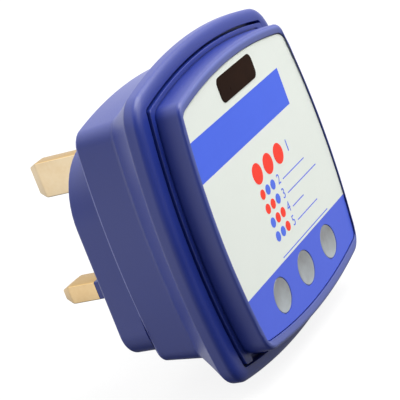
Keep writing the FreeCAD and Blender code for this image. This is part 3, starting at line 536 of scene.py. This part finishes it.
hook_front = SKIRT_BACK + HOOK_THICKNESS
hooks = hooked_blocks("snap_hooks", HOOK_PLACES, HOOK_WIDTH, [
    (-HOOK_ROOT, SKIRT_BACK), (HOOK_REACH - HOOK_LEAD, SKIRT_BACK),
    (HOOK_REACH, SKIRT_BACK + HOOK_LEAD), (HOOK_REACH, hook_front), (-HOOK_ROOT, hook_front)])
hooks.data.materials.append(navy_plastic)
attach(hooks, "root")

# --- Front label ---
# A thin sheet of satin white polycarbonate stuck into the cover's bed, screen printed in blue: a
# stripe across the top, a band round the windows and thin ruled lines beside the indicator rows.
LABEL_BACK, LABEL_FRONT, LABEL_GAP, LABEL_MARGIN = 31.36, 31.6, 0.15, 0.4
STRIPE_LOW, STRIPE_HIGH, STRIPE_END = -1.2, 6.82, 17.6
BAND_TOP = -25.75
ROW_LEVELS = (-11.75, -14.85, -17.85, -20.9)
RULE_WIDTH, RULE_DROP, RULE_LEFT, RULE_RIGHTS = 0.24, 0.75, 3.6, (15.2, 19.2, 9.6, 14.6)
RULES = [*((RULE_LEFT, right, level) for right, level in zip(RULE_RIGHTS, ROW_LEVELS)),
         (-7.4, 17.4, -24.4)]
LABEL_WHITE, PRINT_BLUE, BAND_BLUE = (220, 225, 218), (68, 98, 220), (76, 97, 209)


def printed_sheet(flow):
    x, z = flow.axis(0), flow.axis(2)
    stripe = z.between(STRIPE_LOW, STRIPE_HIGH) * (x < STRIPE_END)
    rules = sum(x.between(left, right) * z.between(level - RULE_DROP - RULE_WIDTH / 2,
                                                   level - RULE_DROP + RULE_WIDTH / 2)
                for left, right, level in RULES)
    cloud, fibre = flow.noise(0.12, 2.0), flow.noise(1.6, 3.0)
    tint = (cloud - 0.5) * 0.5 + (fibre - 0.5) * 0.3 + 0.5

    def printed(colour, step):
        return flow.mixed(tint, srgb(*colour), srgb(*[part + step for part in colour]))

    upper = flow.mixed(stripe + rules, printed(LABEL_WHITE, 6), printed(PRINT_BLUE, 9))
    return {"Base Color": flow.mixed(z < BAND_TOP, upper, printed(BAND_BLUE, 9)),
            "Roughness": (cloud - 0.5) * 0.1 + 0.36,
            "Normal": flow.bump(0.2, 0.01, fibre)}


label = skinned("label_sheet", softened([
    (LABEL_BED.inset(LABEL_GAP).ring(LABEL_BACK), 0),
    (LABEL_BED.inset(LABEL_GAP).ring(LABEL_FRONT), 0.05),
    (LABEL_BED.inset(LABEL_MARGIN).ring(LABEL_FRONT), 0)]), window_holes)
label.data.materials.append(material("printed_polycarbonate", printed_sheet, IOR=1.25))
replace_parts(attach(label, "root"), "front_label")

# --- Printed indicator rows ---
# Discs of screen ink on the label: a row of three large ones, then four rows of three small ones,
# each row in its own order of red and blue. They stand a hair proud, as thick ink does.
INK_PROUD, DISC_SIDES = 0.03, 40
LARGE_RADIUS, LARGE_LEVEL, LARGE_PLACES = 2.15, -7.6, (-5.45, 0.0, 5.45)
SMALL_RADIUS, SMALL_PLACES = 1.04, (-6.3, -3.7, -1.1)
ROW_COLOURS = ("rbb", "rrb", "brr", "bbr")


def ink(name, colour, lighter):
    """Opaque screen ink, faintly mottled and a little glossier than the sheet."""
    def paint(flow):
        mottle = flow.noise(1.4, 3.0)
        return {"Base Color": flow.mixed(mottle, srgb(*colour), srgb(*lighter)),
                "Roughness": (mottle - 0.5) * 0.2 + 0.34,
                "Normal": flow.bump(0.2, 0.01, mottle)}
    return material(name, paint, IOR=1.25)


def node_group(name, *inputs):
    """A Geometry Nodes tree: gives it, a flow to add nodes with, and its inputs by name."""
    tree = bpy.data.node_groups.new(name, "GeometryNodeTree")
    tree.interface.new_socket("Geometry", in_out="INPUT", socket_type="NodeSocketGeometry")
    for socket, kind in inputs:
        tree.interface.new_socket(socket, in_out="INPUT", socket_type=kind)
    tree.interface.new_socket("Geometry", in_out="OUTPUT", socket_type="NodeSocketGeometry")
    entry = tree.nodes.new("NodeGroupInput")
    return tree, Flow(tree), {s.name: Flow(tree, s) for s in entry.outputs if s.name}


def grown(name, mesh, tree, values):
    """The mesh that a Geometry Nodes tree makes of another, as a plain object."""
    holder = bpy.data.objects.new(name, mesh)
    scene.collection.objects.link(holder)
    modifier = holder.modifiers.new(name, "NODES")
    modifier.node_group = tree
    for item in tree.interface.items_tree:
        if item.in_out == "INPUT" and item.name in values:
            modifier[item.identifier] = values[item.name]
    made = plain_mesh(holder)
    made.name = name
    holder.modifiers.clear()
    holder.data = made
    return holder


disc_tree, flow, entry = node_group(
    "printed_discs", ("Thickness", "NodeSocketFloat"), ("Sides", "NodeSocketInt"),
    ("Blue ink", "NodeSocketMaterial"), ("Red ink", "NodeSocketMaterial"))
disc = flow.node("GeometryNodeMeshCylinder", inputs={
    "Vertices": entry["Sides"], "Radius": 1.0, "Depth": entry["Thickness"]})
radius, is_red = (flow.node("GeometryNodeInputNamedAttribute", {"data_type": kind}, {"Name": name})
                  for kind, name in (("FLOAT", "disc_radius"), ("BOOLEAN", "disc_red")))
placed = flow.node("GeometryNodeInstanceOnPoints", inputs={
    "Points": entry["Geometry"], "Instance": disc, "Rotation": (math.pi / 2, 0.0, 0.0),
    "Scale": flow.node("ShaderNodeCombineXYZ", inputs={0: radius, 1: radius, 2: 1.0})})
solid = flow.node("GeometryNodeRealizeInstances", inputs={"Geometry": placed})
all_blue = flow.node("GeometryNodeSetMaterial", inputs={
    "Geometry": solid, "Material": entry["Blue ink"]})
flow.node("NodeGroupOutput", inputs={"Geometry": flow.node("GeometryNodeSetMaterial", inputs={
    "Geometry": all_blue, "Selection": is_red, "Material": entry["Red ink"]})})

discs = [(x, LARGE_LEVEL, LARGE_RADIUS, True) for x in LARGE_PLACES]
discs += [(x, z, SMALL_RADIUS, letter == "r") for z, row in zip(ROW_LEVELS, ROW_COLOURS)
          for x, letter in zip(SMALL_PLACES, row)]
points = bpy.data.meshes.new("disc_points")
points.from_pydata([(x * MM, -LABEL_FRONT * MM, z * MM) for x, z, _, _ in discs], [], [])
points.attributes.new("disc_radius", "FLOAT", "POINT").data.foreach_set(
    "value", [size * MM for _, _, size, _ in discs])
points.attributes.new("disc_red", "BOOLEAN", "POINT").data.foreach_set(
    "value", [in_red for _, _, _, in_red in discs])
red_ink = ink("red_screen_ink", (242, 52, 34), (248, 66, 46))
blue_ink = ink("blue_screen_ink", (76, 106, 224), (86, 116, 230))
rows = grown("indicator_rows", points, disc_tree, {
    "Thickness": INK_PROUD * 2 * MM, "Sides": DISC_SIDES, "Blue ink": blue_ink, "Red ink": red_ink})
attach(rows, "root")

# --- Row numbers ---
# A plain number at the end of each indicator row, in the same blue ink and as thick. The first
# stands further right and is a little larger, as the discs of its row are.
NUMBER_HEIGHT, NUMBER_LEFT = 2.1, 1.1
FIRST_HEIGHT, FIRST_LEFT = NUMBER_HEIGHT * 1.2, 9.2
DIGIT_SHARE = 0.7                           # a digit's height over its type size
CURVE_STEPS, WELD_GAP = 6, 0.0015


def numeral(text, x, z, height):
    """A printed number standing on the label, its left edge at x and its middle at z."""
    letters = bpy.data.curves.new("numeral", "FONT")
    letters.body, letters.size = text, height * MM / DIGIT_SHARE
    letters.extrude, letters.resolution_u = INK_PROUD * MM, CURVE_STEPS
    writer = bpy.data.objects.new("numeral", letters)
    scene.collection.objects.link(writer)
    mesh = plain_mesh(writer)
    bpy.data.objects.remove(writer)
    mesh.transform(Matrix.Translation((x * MM, -LABEL_FRONT * MM, (z - height / 2) * MM))
                   @ Matrix.Rotation(math.pi / 2, 4, "X"))
    strokes = bmesh.new()
    strokes.from_mesh(mesh)
    bpy.data.meshes.remove(mesh)
    bmesh.ops.remove_doubles(strokes, verts=strokes.verts, dist=WELD_GAP * MM)
    bmesh.ops.recalc_face_normals(strokes, faces=strokes.faces)
    made = finished(f"row_number_{text}", strokes)
    made.data.materials.append(blue_ink)
    return made


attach(numeral("1", FIRST_LEFT, LARGE_LEVEL, FIRST_HEIGHT), "root")
for text, level in zip("2345", ROW_LEVELS):
    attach(numeral(text, NUMBER_LEFT, level, NUMBER_HEIGHT), "root")

# --- Badge ---
# A small dark enamelled tile with rounded corners, left blank. It is stuck to the label above the
# stripe.
BADGE_CENTRE, BADGE_SIZE, BADGE_CORNER, CORNER_STEPS = (0.0, 10.9), (16.8, 5.2), 1.5, 8
BADGE_FRONT, BADGE_SUNK, BADGE_MARGIN = 31.72, 0.05, 0.5


def rounded_ring(x, z, width, height, corner, depth, steps=CORNER_STEPS):
    """A rectangle with rounded corners, clockwise from its top right corner."""
    flat = np.concatenate([
        arc(x + (width / 2 - corner) * sx, z + (height / 2 - corner) * sz, corner,
            start, start - math.pi / 2, steps)
        for sx, sz, start in ((1, 1, math.pi / 2), (1, -1, 0), (-1, -1, -math.pi / 2),
                              (-1, 1, math.pi))])
    return np.stack([flat[:, 0], np.full(len(flat), -float(depth)), flat[:, 1]], axis=1)


def enamel(flow):
    cloud, speck = flow.noise(0.3, 3.0), flow.noise(3.0, 2.0)
    return {"Base Color": flow.mixed((cloud - 0.5) * 0.8 + (speck - 0.5) * 0.4 + 0.5,
                                     srgb(26, 14, 9), srgb(44, 26, 16)),
            "Roughness": (cloud - 0.5) * 0.15 + 0.3,
            "Normal": flow.bump(0.2, 0.01, cloud)}


badge = skinned("blank_badge", softened([
    (rounded_ring(*BADGE_CENTRE, *BADGE_SIZE, BADGE_CORNER, LABEL_FRONT - BADGE_SUNK), 0),
    (rounded_ring(*BADGE_CENTRE, *BADGE_SIZE, BADGE_CORNER, BADGE_FRONT), 0.1),
    (rounded_ring(*BADGE_CENTRE, *[size - BADGE_MARGIN * 2 for size in BADGE_SIZE],
                  BADGE_CORNER - BADGE_MARGIN, BADGE_FRONT), 0)]))
badge.data.materials.append(material("dark_enamel", enamel, IOR=1.08))
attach(badge, "root")

# --- Indicator windows ---
# Three frosted lenses pushed through the cover from behind until their rims meet it. Each face is
# slightly dished and stands a little below the label.
LENS_RADIUS, LENS_FRONT, LENS_DISH, LENS_RIM, RIM_BACK = 3.58, 31.56, 0.16, 0.8, 28.35
LENS_EDGE, LENS_MARGIN, LENS_POLE, LENS_STEPS, LENS_SIDES = 0.12, 0.3, 0.04, 7, 56

lens_profile = [(LENS_RADIUS * LENS_POLE, RIM_BACK), (LENS_RADIUS + LENS_RIM, RIM_BACK),
                (LENS_RADIUS + LENS_RIM, COVER_INSIDE), (LENS_RADIUS, COVER_INSIDE),
                (LENS_RADIUS, LENS_FRONT - LENS_EDGE), (LENS_RADIUS - LENS_EDGE, LENS_FRONT)]
for step in range(LENS_STEPS, 0, -1):
    share = step / LENS_STEPS
    lens_profile.append(((LENS_RADIUS - LENS_MARGIN) * share,
                         LENS_FRONT - LENS_DISH * (1 - share ** 2)))
lens = skinned("lens", [disc_ring(0, 0, reach, depth, LENS_SIDES) for reach, depth in lens_profile])

lens_tree, flow, entry = node_group("lenses", ("Lens", "NodeSocketObject"),
                                    ("Frosting", "NodeSocketMaterial"))
source = flow.node("GeometryNodeObjectInfo", inputs={"Object": entry["Lens"]}, out="Geometry")
placed = flow.node("GeometryNodeInstanceOnPoints", inputs={
    "Points": entry["Geometry"], "Instance": source})
solid = flow.node("GeometryNodeRealizeInstances", inputs={"Geometry": placed})
flow.node("NodeGroupOutput", inputs={"Geometry": flow.node(
    "GeometryNodeSetMaterial", inputs={"Geometry": solid, "Material": entry["Frosting"]})})


def frosted(flow):
    """Frosted grey plastic, cooler and lighter towards the foot of each lens: painted shade at the
    top and painted light at the foot, as on a dished face lit from above.
    """
    # Painted light and shade: each lens lightens from its top towards its foot.
    low = (WINDOW_LEVEL + LENS_RADIUS - flow.axis(2)) * (0.5 / LENS_RADIUS)
    streak, grain = flow.noise(0.35, 3.0), flow.noise(2.8, 2.0)
    share = low * 0.7 + (streak - 0.5) * 0.7 + 0.1
    return {"Base Color": flow.mixed(share, srgb(124, 123, 123), srgb(178, 186, 190)),
            "Roughness": (streak - 0.5) * 0.15 + 0.42,
            "Normal": flow.bump(0.35, 0.02, grain)}


lens_points = bpy.data.meshes.new("lens_points")
lens_points.from_pydata([(x * MM, 0, WINDOW_LEVEL * MM) for x in WINDOW_PLACES], [], [])
windows = grown("indicator_windows", lens_points, lens_tree, {
    "Lens": lens, "Frosting": material("frosted_plastic", frosted, IOR=1.35)})
bpy.data.objects.remove(lens)
shaded(windows.data)
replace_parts(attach(windows, "root"), "window_left", "window_middle", "window_right")

# --- Pins and sleeves ---
# Solid brass pins to the thirteen-amp standard, satin from tumbling, with chamfered tips. The line
# and neutral pins are thinner behind their tips, where a moulded sleeve covers them.
EARTH_LENGTH, LINE_LENGTH, TIP = 22.73, 17.7, 2.3
TIP_TAPER, FLAT_TIP_TAPER, TIP_END_TAPER = 1.3, 1.35, 0.9   # how far each side of a tip draws in
TIP_MARGIN = 0.8
HEAD_MARGIN, HEAD_FRONT, BOSS_FRONT, SCREW_RADIUS, SCREW_BITE = 1.5, 7.0, 8.5, 1.2, 3.4
PIN_EDGE, PIN_EDGE_STEPS = 0.3, 4
SLEEVE_LENGTH, SLEEVE_THIN = 8.7, 1.2       # the second is both walls of a sleeve together
# The deeper gold of a painted reflection on the pins' upward faces.
BRASS_TOP_REFLECTION = (168, 137, 82)


def brass(name, dull, bright):
    """Tumbled brass: clouded and brushed between two tones, fine pits, and a painted reflection
    that turns upward faces a deeper gold.
    """
    def paint(flow):
        cloud, brushed, pits = flow.noise(0.15, 3.0), flow.noise(1.2, 2.0), flow.noise(5.0, 2.0)
        tone = (cloud - 0.5) * 1.1 + (brushed - 0.5) * 0.3 + 0.5
        facing = flow.node("ShaderNodeTexCoord", out="Normal")
        upward = flow.node("ShaderNodeSeparateXYZ", inputs={0: facing}, out="Z")
        brass_tone = flow.mixed(tone, srgb(*dull), srgb(*bright))
        # Painted reflection: faces that point upwards turn a deeper, darker gold.
        return {"Base Color": flow.mixed(upward.ramp(0.6, 0.95), brass_tone, srgb(*BRASS_TOP_REFLECTION)),
                "Roughness": (cloud - 0.5) * 0.2 + (brushed - 0.5) * 0.1 + 0.4,
                "Normal": flow.bump(0.25, 0.012, pits)}
    return material(name, paint, Metallic=1.0)


pale_brass = brass("pale_brass", (178, 155, 120), (205, 191, 164))
golden_brass = brass("golden_brass", (172, 144, 104), (204, 182, 142))


def pin_ring(place, size, depth, thinner=0.0):
    """A pin's section at a depth, thinner both ways by as much as is asked."""
    width, height = size
    return rounded_ring(*place, width - thinner, height - thinner, PIN_EDGE, depth, PIN_EDGE_STEPS)


def round_like(ring, place, radius, depth):
    """A round ring whose points stand at the same angles as another ring's."""
    away = ring[:, (0, 2)] - place
    flat = place + away / np.linalg.norm(away, axis=1)[:, None] * radius
    return np.stack([flat[:, 0], np.full(len(ring), -float(depth)), flat[:, 1]], axis=1)


def pin(name, place, size, length, metal, sleeve):
    """A pin from its tip inwards, then its head on the floor and a boss bored for a screw."""
    width, height = size
    along = TIP_TAPER if width < height else FLAT_TIP_TAPER
    tip = width - along * 2, height - TIP_END_TAPER * 2
    start = pin_ring(place, tip, -length, TIP_MARGIN)
    stations = [(start, 0), (pin_ring(place, tip, -length), 0.3),
                (pin_ring(place, size, TIP - length), 0.4)]
    if sleeve:
        stations += [(pin_ring(place, size, -sleeve), 0),
                     (pin_ring(place, size, -sleeve, SLEEVE_THIN), 0),
                     (pin_ring(place, size, FLOOR, SLEEVE_THIN), 0)]
    else:
        stations += [(pin_ring(place, size, FLOOR), 0)]
    stations += [(pin_ring(place, size, FLOOR, -HEAD_MARGIN * 2), 0.1),
                 (pin_ring(place, size, HEAD_FRONT, -HEAD_MARGIN * 2), 0.1),
                 (pin_ring(place, size, HEAD_FRONT), 0),
                 (pin_ring(place, size, BOSS_FRONT), 0.1),
                 (round_like(start, place, SCREW_RADIUS, BOSS_FRONT), 0),
                 (round_like(start, place, SCREW_RADIUS, BOSS_FRONT - SCREW_BITE), 0)]
    made = skinned(name, softened(stations))
    made.data.materials.append(metal)
    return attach(made, "root")


for side, length, size, metal, sleeved in (
        ("earth", EARTH_LENGTH, EARTH_PIN, pale_brass, 0),
        ("neutral", LINE_LENGTH, LINE_PIN, golden_brass, SLEEVE_LENGTH),
        ("line", LINE_LENGTH, LINE_PIN, golden_brass, SLEEVE_LENGTH)):
    place = PIN_PLACES[side]
    made = pin(f"{side}_pin_brass", place, size, length, metal, sleeved)
    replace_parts(made, f"{side}_pin")
    if sleeved:
        sleeve = skinned(f"{side}_sleeve_moulding", softened([
            (pin_ring(place, size, FLOOR, SLEEVE_THIN), 0),
            (pin_ring(place, size, FLOOR), 0),
            (pin_ring(place, size, -sleeved), 0.12),
            (pin_ring(place, size, -sleeved, SLEEVE_THIN), 0)]))
        sleeve.data.materials.append(navy_plastic)
        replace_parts(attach(sleeve, "root"), f"{side}_sleeve")

# --- Pin clamp and light block ---
# The black bar that screws down over the pins' heads, and the black block with a well for each
# lamp. Both are glass-filled nylon, a little coarser and duller than the casing.


def coated(made, *names):
    """Gives CAD nodes that are shown as they are a material in place of their plain one."""
    for name in names:
        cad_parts[name].data.materials.clear()
        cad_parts[name].data.materials.append(made)


coated(moulded("black_glass_filled_nylon", (17, 17, 19), (31, 31, 34), grain=0.012, gloss=0.56),
       "pin_clamp", "light_block")

# --- Screws, washers and leads ---
# Bright zinc on the steel screws and washers, faintly clouded blue and yellow where the plating is
# passivated, and dull tin on the parts' copper leads.


def plated(name, cool, warm, gloss):
    def paint(flow):
        bloom, scuff = flow.noise(0.5, 3.0), flow.noise(2.4, 4.0, 0.65)
        return {"Base Color": flow.mixed((bloom - 0.5) * 1.4 + 0.5, srgb(*cool), srgb(*warm)),
                "Roughness": (scuff - 0.5) * 0.3 + gloss,
                "Normal": flow.bump(0.2, 0.01, scuff)}
    return material(name, paint, Metallic=1.0)


coated(plated("zinc_plate", (182, 189, 201), (203, 199, 186), 0.3),
       "clamp_screws", "contact_screws", "board_screws", "contact_washers")
coated(plated("tinned_wire", (186, 188, 192), (208, 208, 207), 0.42),
       "lamp_leads", "resistor_leads", "diode_leads", "capacitor_leads")

# --- Contacts ---
# Three springs pressed from rolled brass strip. The rolling leaves fine lines along each strip, and
# handling leaves darker patches.


def rolled_strip(flow):
    across = flow.node("ShaderNodeCombineXYZ", inputs={0: flow.axis(0)})
    lines = flow.node("ShaderNodeTexNoise", inputs={"Vector": across, "Scale": 7.0, "Detail": 3.0})
    patch = flow.noise(0.35, 4.0)
    return {"Base Color": flow.mixed((patch - 0.5) * 1.6 + 0.6,
                                     srgb(140, 104, 52), srgb(196, 162, 98)),
            "Roughness": (lines - 0.5) * 0.2 + (patch - 0.5) * 0.2 + 0.34,
            "Normal": flow.bump(0.3, 0.01, lines)}


coated(material("rolled_brass_strip", rolled_strip, Metallic=1.0),
       "earth_contact", "neutral_contact", "line_contact")

# --- Circuit board ---
# Glass-fibre laminate under green lacquer, lighter where copper tracks run beneath it. The sawn
# edge shows the bare yellow-brown laminate.
BOARD_FRONT, BOARD_BACK, SAWN_MARGIN, TRACK_PITCH = 18.6, 17.0, 0.04, 2.54
TRACK_WIDTH, CELL_LENGTH = 0.34, 2.5        # in pitches
TRACK_SHARE = 0.45                          # of the cells that hold a track


def laminate(flow):
    x, y, z = (flow.axis(number) for number in range(3))

    def tracks(along, over, seed):
        """Tracks on a square grid, each one cell long or longer, in some cells only."""
        row = over * (1 / TRACK_PITCH)
        strip = flow.math("FRACT", row).between(0.5 - TRACK_WIDTH / 2, 0.5 + TRACK_WIDTH / 2)
        cell = flow.node("ShaderNodeCombineXYZ", inputs={
            0: flow.math("FLOOR", along * (1 / TRACK_PITCH / CELL_LENGTH)),
            1: flow.math("FLOOR", row), 2: seed})
        used = flow.node("ShaderNodeTexWhiteNoise", {"noise_dimensions": "3D"}, {"Vector": cell})
        return strip * (used < TRACK_SHARE)

    copper = flow.math("MAXIMUM", tracks(x, z, 1.5), tracks(z, x, 4.5))
    weave = flow.noise(1.8, 3.0)
    lacquer = flow.mixed(copper, flow.mixed(weave, srgb(16, 74, 42), srgb(24, 88, 52)),
                         flow.mixed(weave, srgb(40, 122, 66), srgb(50, 134, 76)))
    bare = flow.mixed(weave, srgb(142, 132, 82), srgb(176, 168, 116))
    sawn = y.between(SAWN_MARGIN - BOARD_FRONT, -SAWN_MARGIN - BOARD_BACK)
    return {"Base Color": flow.mixed(sawn, lacquer, bare),
            "Roughness": sawn * 0.35 + (weave - 0.5) * 0.15 + 0.3,
            "Normal": flow.bump(0.4, 0.035, copper * 0.6 + weave * 0.4)}


coated(material("lacquered_laminate", laminate), "circuit_board")

# --- Resistors ---
# Six metal-film resistors dipped in pale blue lacquer, with five painted bands round each body.
# The lacquer thickens a little over the end caps.
RESISTOR_MIDDLE, BAND_WIDTH = 9.45, 0.5
BANDS = [(-2.9, (92, 52, 24)), (-1.5, (24, 22, 22)), (-0.3, (26, 24, 24)), (0.9, (206, 96, 28)),
         (2.7, (96, 54, 26))]


def banded(flow):
    off = flow.math("ABSOLUTE", flow.axis(0)) - RESISTOR_MIDDLE
    pool, grain = flow.noise(0.4, 3.0), flow.noise(2.6, 2.0)
    paint = flow.mixed((pool - 0.5) * 0.8 + (grain - 0.5) * 0.3 + 0.5,
                       srgb(96, 148, 186), srgb(128, 176, 206))
    for place, colour in BANDS:
        band = off.between(place - BAND_WIDTH / 2, place + BAND_WIDTH / 2)
        paint = flow.mixed(band, paint, srgb(*colour))
    return {"Base Color": paint, "Roughness": (grain - 0.5) * 0.2 + 0.28,
            "Normal": flow.bump(0.3, 0.04, pool)}


coated(material("blue_resistor_lacquer", banded), *[f"resistor_{number}" for number in range(1, 7)])

# --- Diodes ---
# Three small black moulded bodies in line with the windows, each with the pale ring that marks its
# cathode end.
CATHODE, CATHODE_WIDTH = 1.6, 0.7


def ringed(flow):
    off = flow.math("WRAP", flow.axis(0), WINDOW_PITCH / 2, -WINDOW_PITCH / 2)
    grain, cloud = flow.noise(3.0, 3.0), flow.noise(0.6, 2.0)
    ring = off.between(CATHODE - CATHODE_WIDTH / 2, CATHODE + CATHODE_WIDTH / 2)
    return {"Base Color": flow.mixed(ring, flow.mixed(cloud, srgb(18, 18, 19), srgb(34, 33, 32)),
                                     flow.mixed(grain, srgb(176, 178, 180), srgb(204, 206, 206))),
            "Roughness": (grain - 0.5) * 0.25 + ring * 0.1 + 0.4,
            "Normal": flow.bump(0.3, 0.012, grain)}


coated(material("black_diode_moulding", ringed), "diode_1", "diode_2", "diode_3")

# --- Capacitor and lamps ---
# A boxed capacitor in ochre plastic, and three lamps of red diffused epoxy, cloudy right through.
# The lamps stand in the light block's wells behind the windows.


def cast(name, colour, lighter, gloss, depth, **constants):
    """Poured or moulded resin: soft clouds of filler and a slightly wavy skin."""
    def paint(flow):
        filler, skin = flow.noise(0.7, 4.0, 0.6), flow.noise(1.5, 2.0)
        return {"Base Color": flow.mixed((filler - 0.5) * 1.4 + 0.5, srgb(*colour), srgb(*lighter)),
                "Roughness": (skin - 0.5) * 0.2 + gloss,
                "Normal": flow.bump(0.3, depth, skin)}
    return material(name, paint, **constants)


coated(cast("ochre_box_plastic", (186, 122, 34), (208, 148, 58), 0.36, 0.02), "capacitor")
coated(cast("red_diffused_epoxy", (186, 34, 26), (222, 62, 44), 0.2, 0.01, IOR=1.54),
       "lamp_left", "lamp_middle", "lamp_right")

# --- Floor and light ---
# A pale floor under the casing, a white room behind it, and soft boxes above, in front and to the
# left. The room is white where the camera looks at it, and graded for the light that it gives.
FLOOR_SIZE, FLOOR_GAP = 6.0, 0.0004         # metres
FLOOR_TONES, FLOOR_SEEN = (0.10, 0.12), 0.86
DIFFUSE_CUT = 0.7                           # share of the room's light kept off matt surfaces
LAMP_WIDTH, LAMP_AIM = 0.50, (0, -0.01, -0.012)     # metres, as the lamps' places are; then watts
LAMPS = [("top_softbox", (0.18, -0.36, 0.58), 5.8), ("front_softbox", (0.30, -0.76, 0.36), 3.1),
         ("left_softbox", (-0.80, 0.05, 0.25), 0.6)]

bpy.ops.mesh.primitive_plane_add(size=FLOOR_SIZE, location=(0, 0, cad_box[0].z - FLOOR_GAP))
floor = bpy.context.object
floor.name = "floor"


def grey(level):
    return level, level, level, 1


def pale_floor(flow):
    cloud = flow.noise(0.002, 2.0)
    seen = flow.node("ShaderNodeLightPath", out="Is Camera Ray")
    return {"Base Color": flow.mixed(cloud, *(grey(tone) for tone in FLOOR_TONES)),
            "Roughness": 0.8, "Emission Strength": 1.0,
            "Emission Color": flow.mixed(seen, grey(0), grey(FLOOR_SEEN))}


floor.data.materials.append(material("pale_floor", pale_floor))
floor.visible_glossy = False

world = bpy.data.worlds.new("studio")
scene.world = world
world.use_nodes = True
world.node_tree.nodes.clear()
flow = Flow(world.node_tree)
direction = flow.node("ShaderNodeTexCoord", out="Generated")
right, back, up = (flow.node("ShaderNodeSeparateXYZ", inputs={0: direction}, out=way)
                   for way in "XYZ")
backdrop = back.ramp(-0.95, 0.5, 0.15, 1.1) + right.ramp(-0.4, -0.85, 0.0, 0.3)
ceiling = up.ramp(0.4, 0.85, 1.0, 2.4)
underside = flow.math("MAXIMUM", up.ramp(-0.6, 0.0, 0.1, 1.0), right.ramp(-0.6, 0.1, 0.95, 0.1))
high_sheet = up.ramp(0.2, 0.5) * back.ramp(-0.2, 0.1, 1.0, 0.0)
side_sheet = right.ramp(0.2, 0.8) * (back.ramp(-0.4, 0.4, 0.45, 0.2) + high_sheet)
table_reach = flow.math("MAXIMUM", right.ramp(-0.5, 0.0, 1.0, 0.0), back.ramp(0.6, 0.8))
table_glow = up.ramp(-0.5, -0.28, 0.0, 0.6) * up.ramp(-0.15, 0.05, 1.0, 0.0) * table_reach
room = backdrop * ceiling * underside + side_sheet + table_glow
by_camera, by_glass, by_matt = (flow.node("ShaderNodeLightPath", out=f"Is {ray} Ray")
                                for ray in ("Camera", "Transmission", "Diffuse"))
seen = flow.math("MAXIMUM", by_camera, by_glass)
level = seen + (1 - seen) * room * (1 - by_matt * DIFFUSE_CUT)
flow.node("ShaderNodeOutputWorld", inputs={"Surface": flow.node(
    "ShaderNodeBackground", inputs={"Color": grey(1), "Strength": level})})

for name, place, watts in LAMPS:
    light = bpy.data.lights.new(name, "AREA")
    light.shape, light.size, light.energy = "SQUARE", LAMP_WIDTH, watts
    lamp = bpy.data.objects.new(name, light)
    lamp.location = place
    lamp.rotation_euler = (Vector(place) - Vector(LAMP_AIM)).to_track_quat("Z", "Y").to_euler()
    scene.collection.objects.link(lamp)
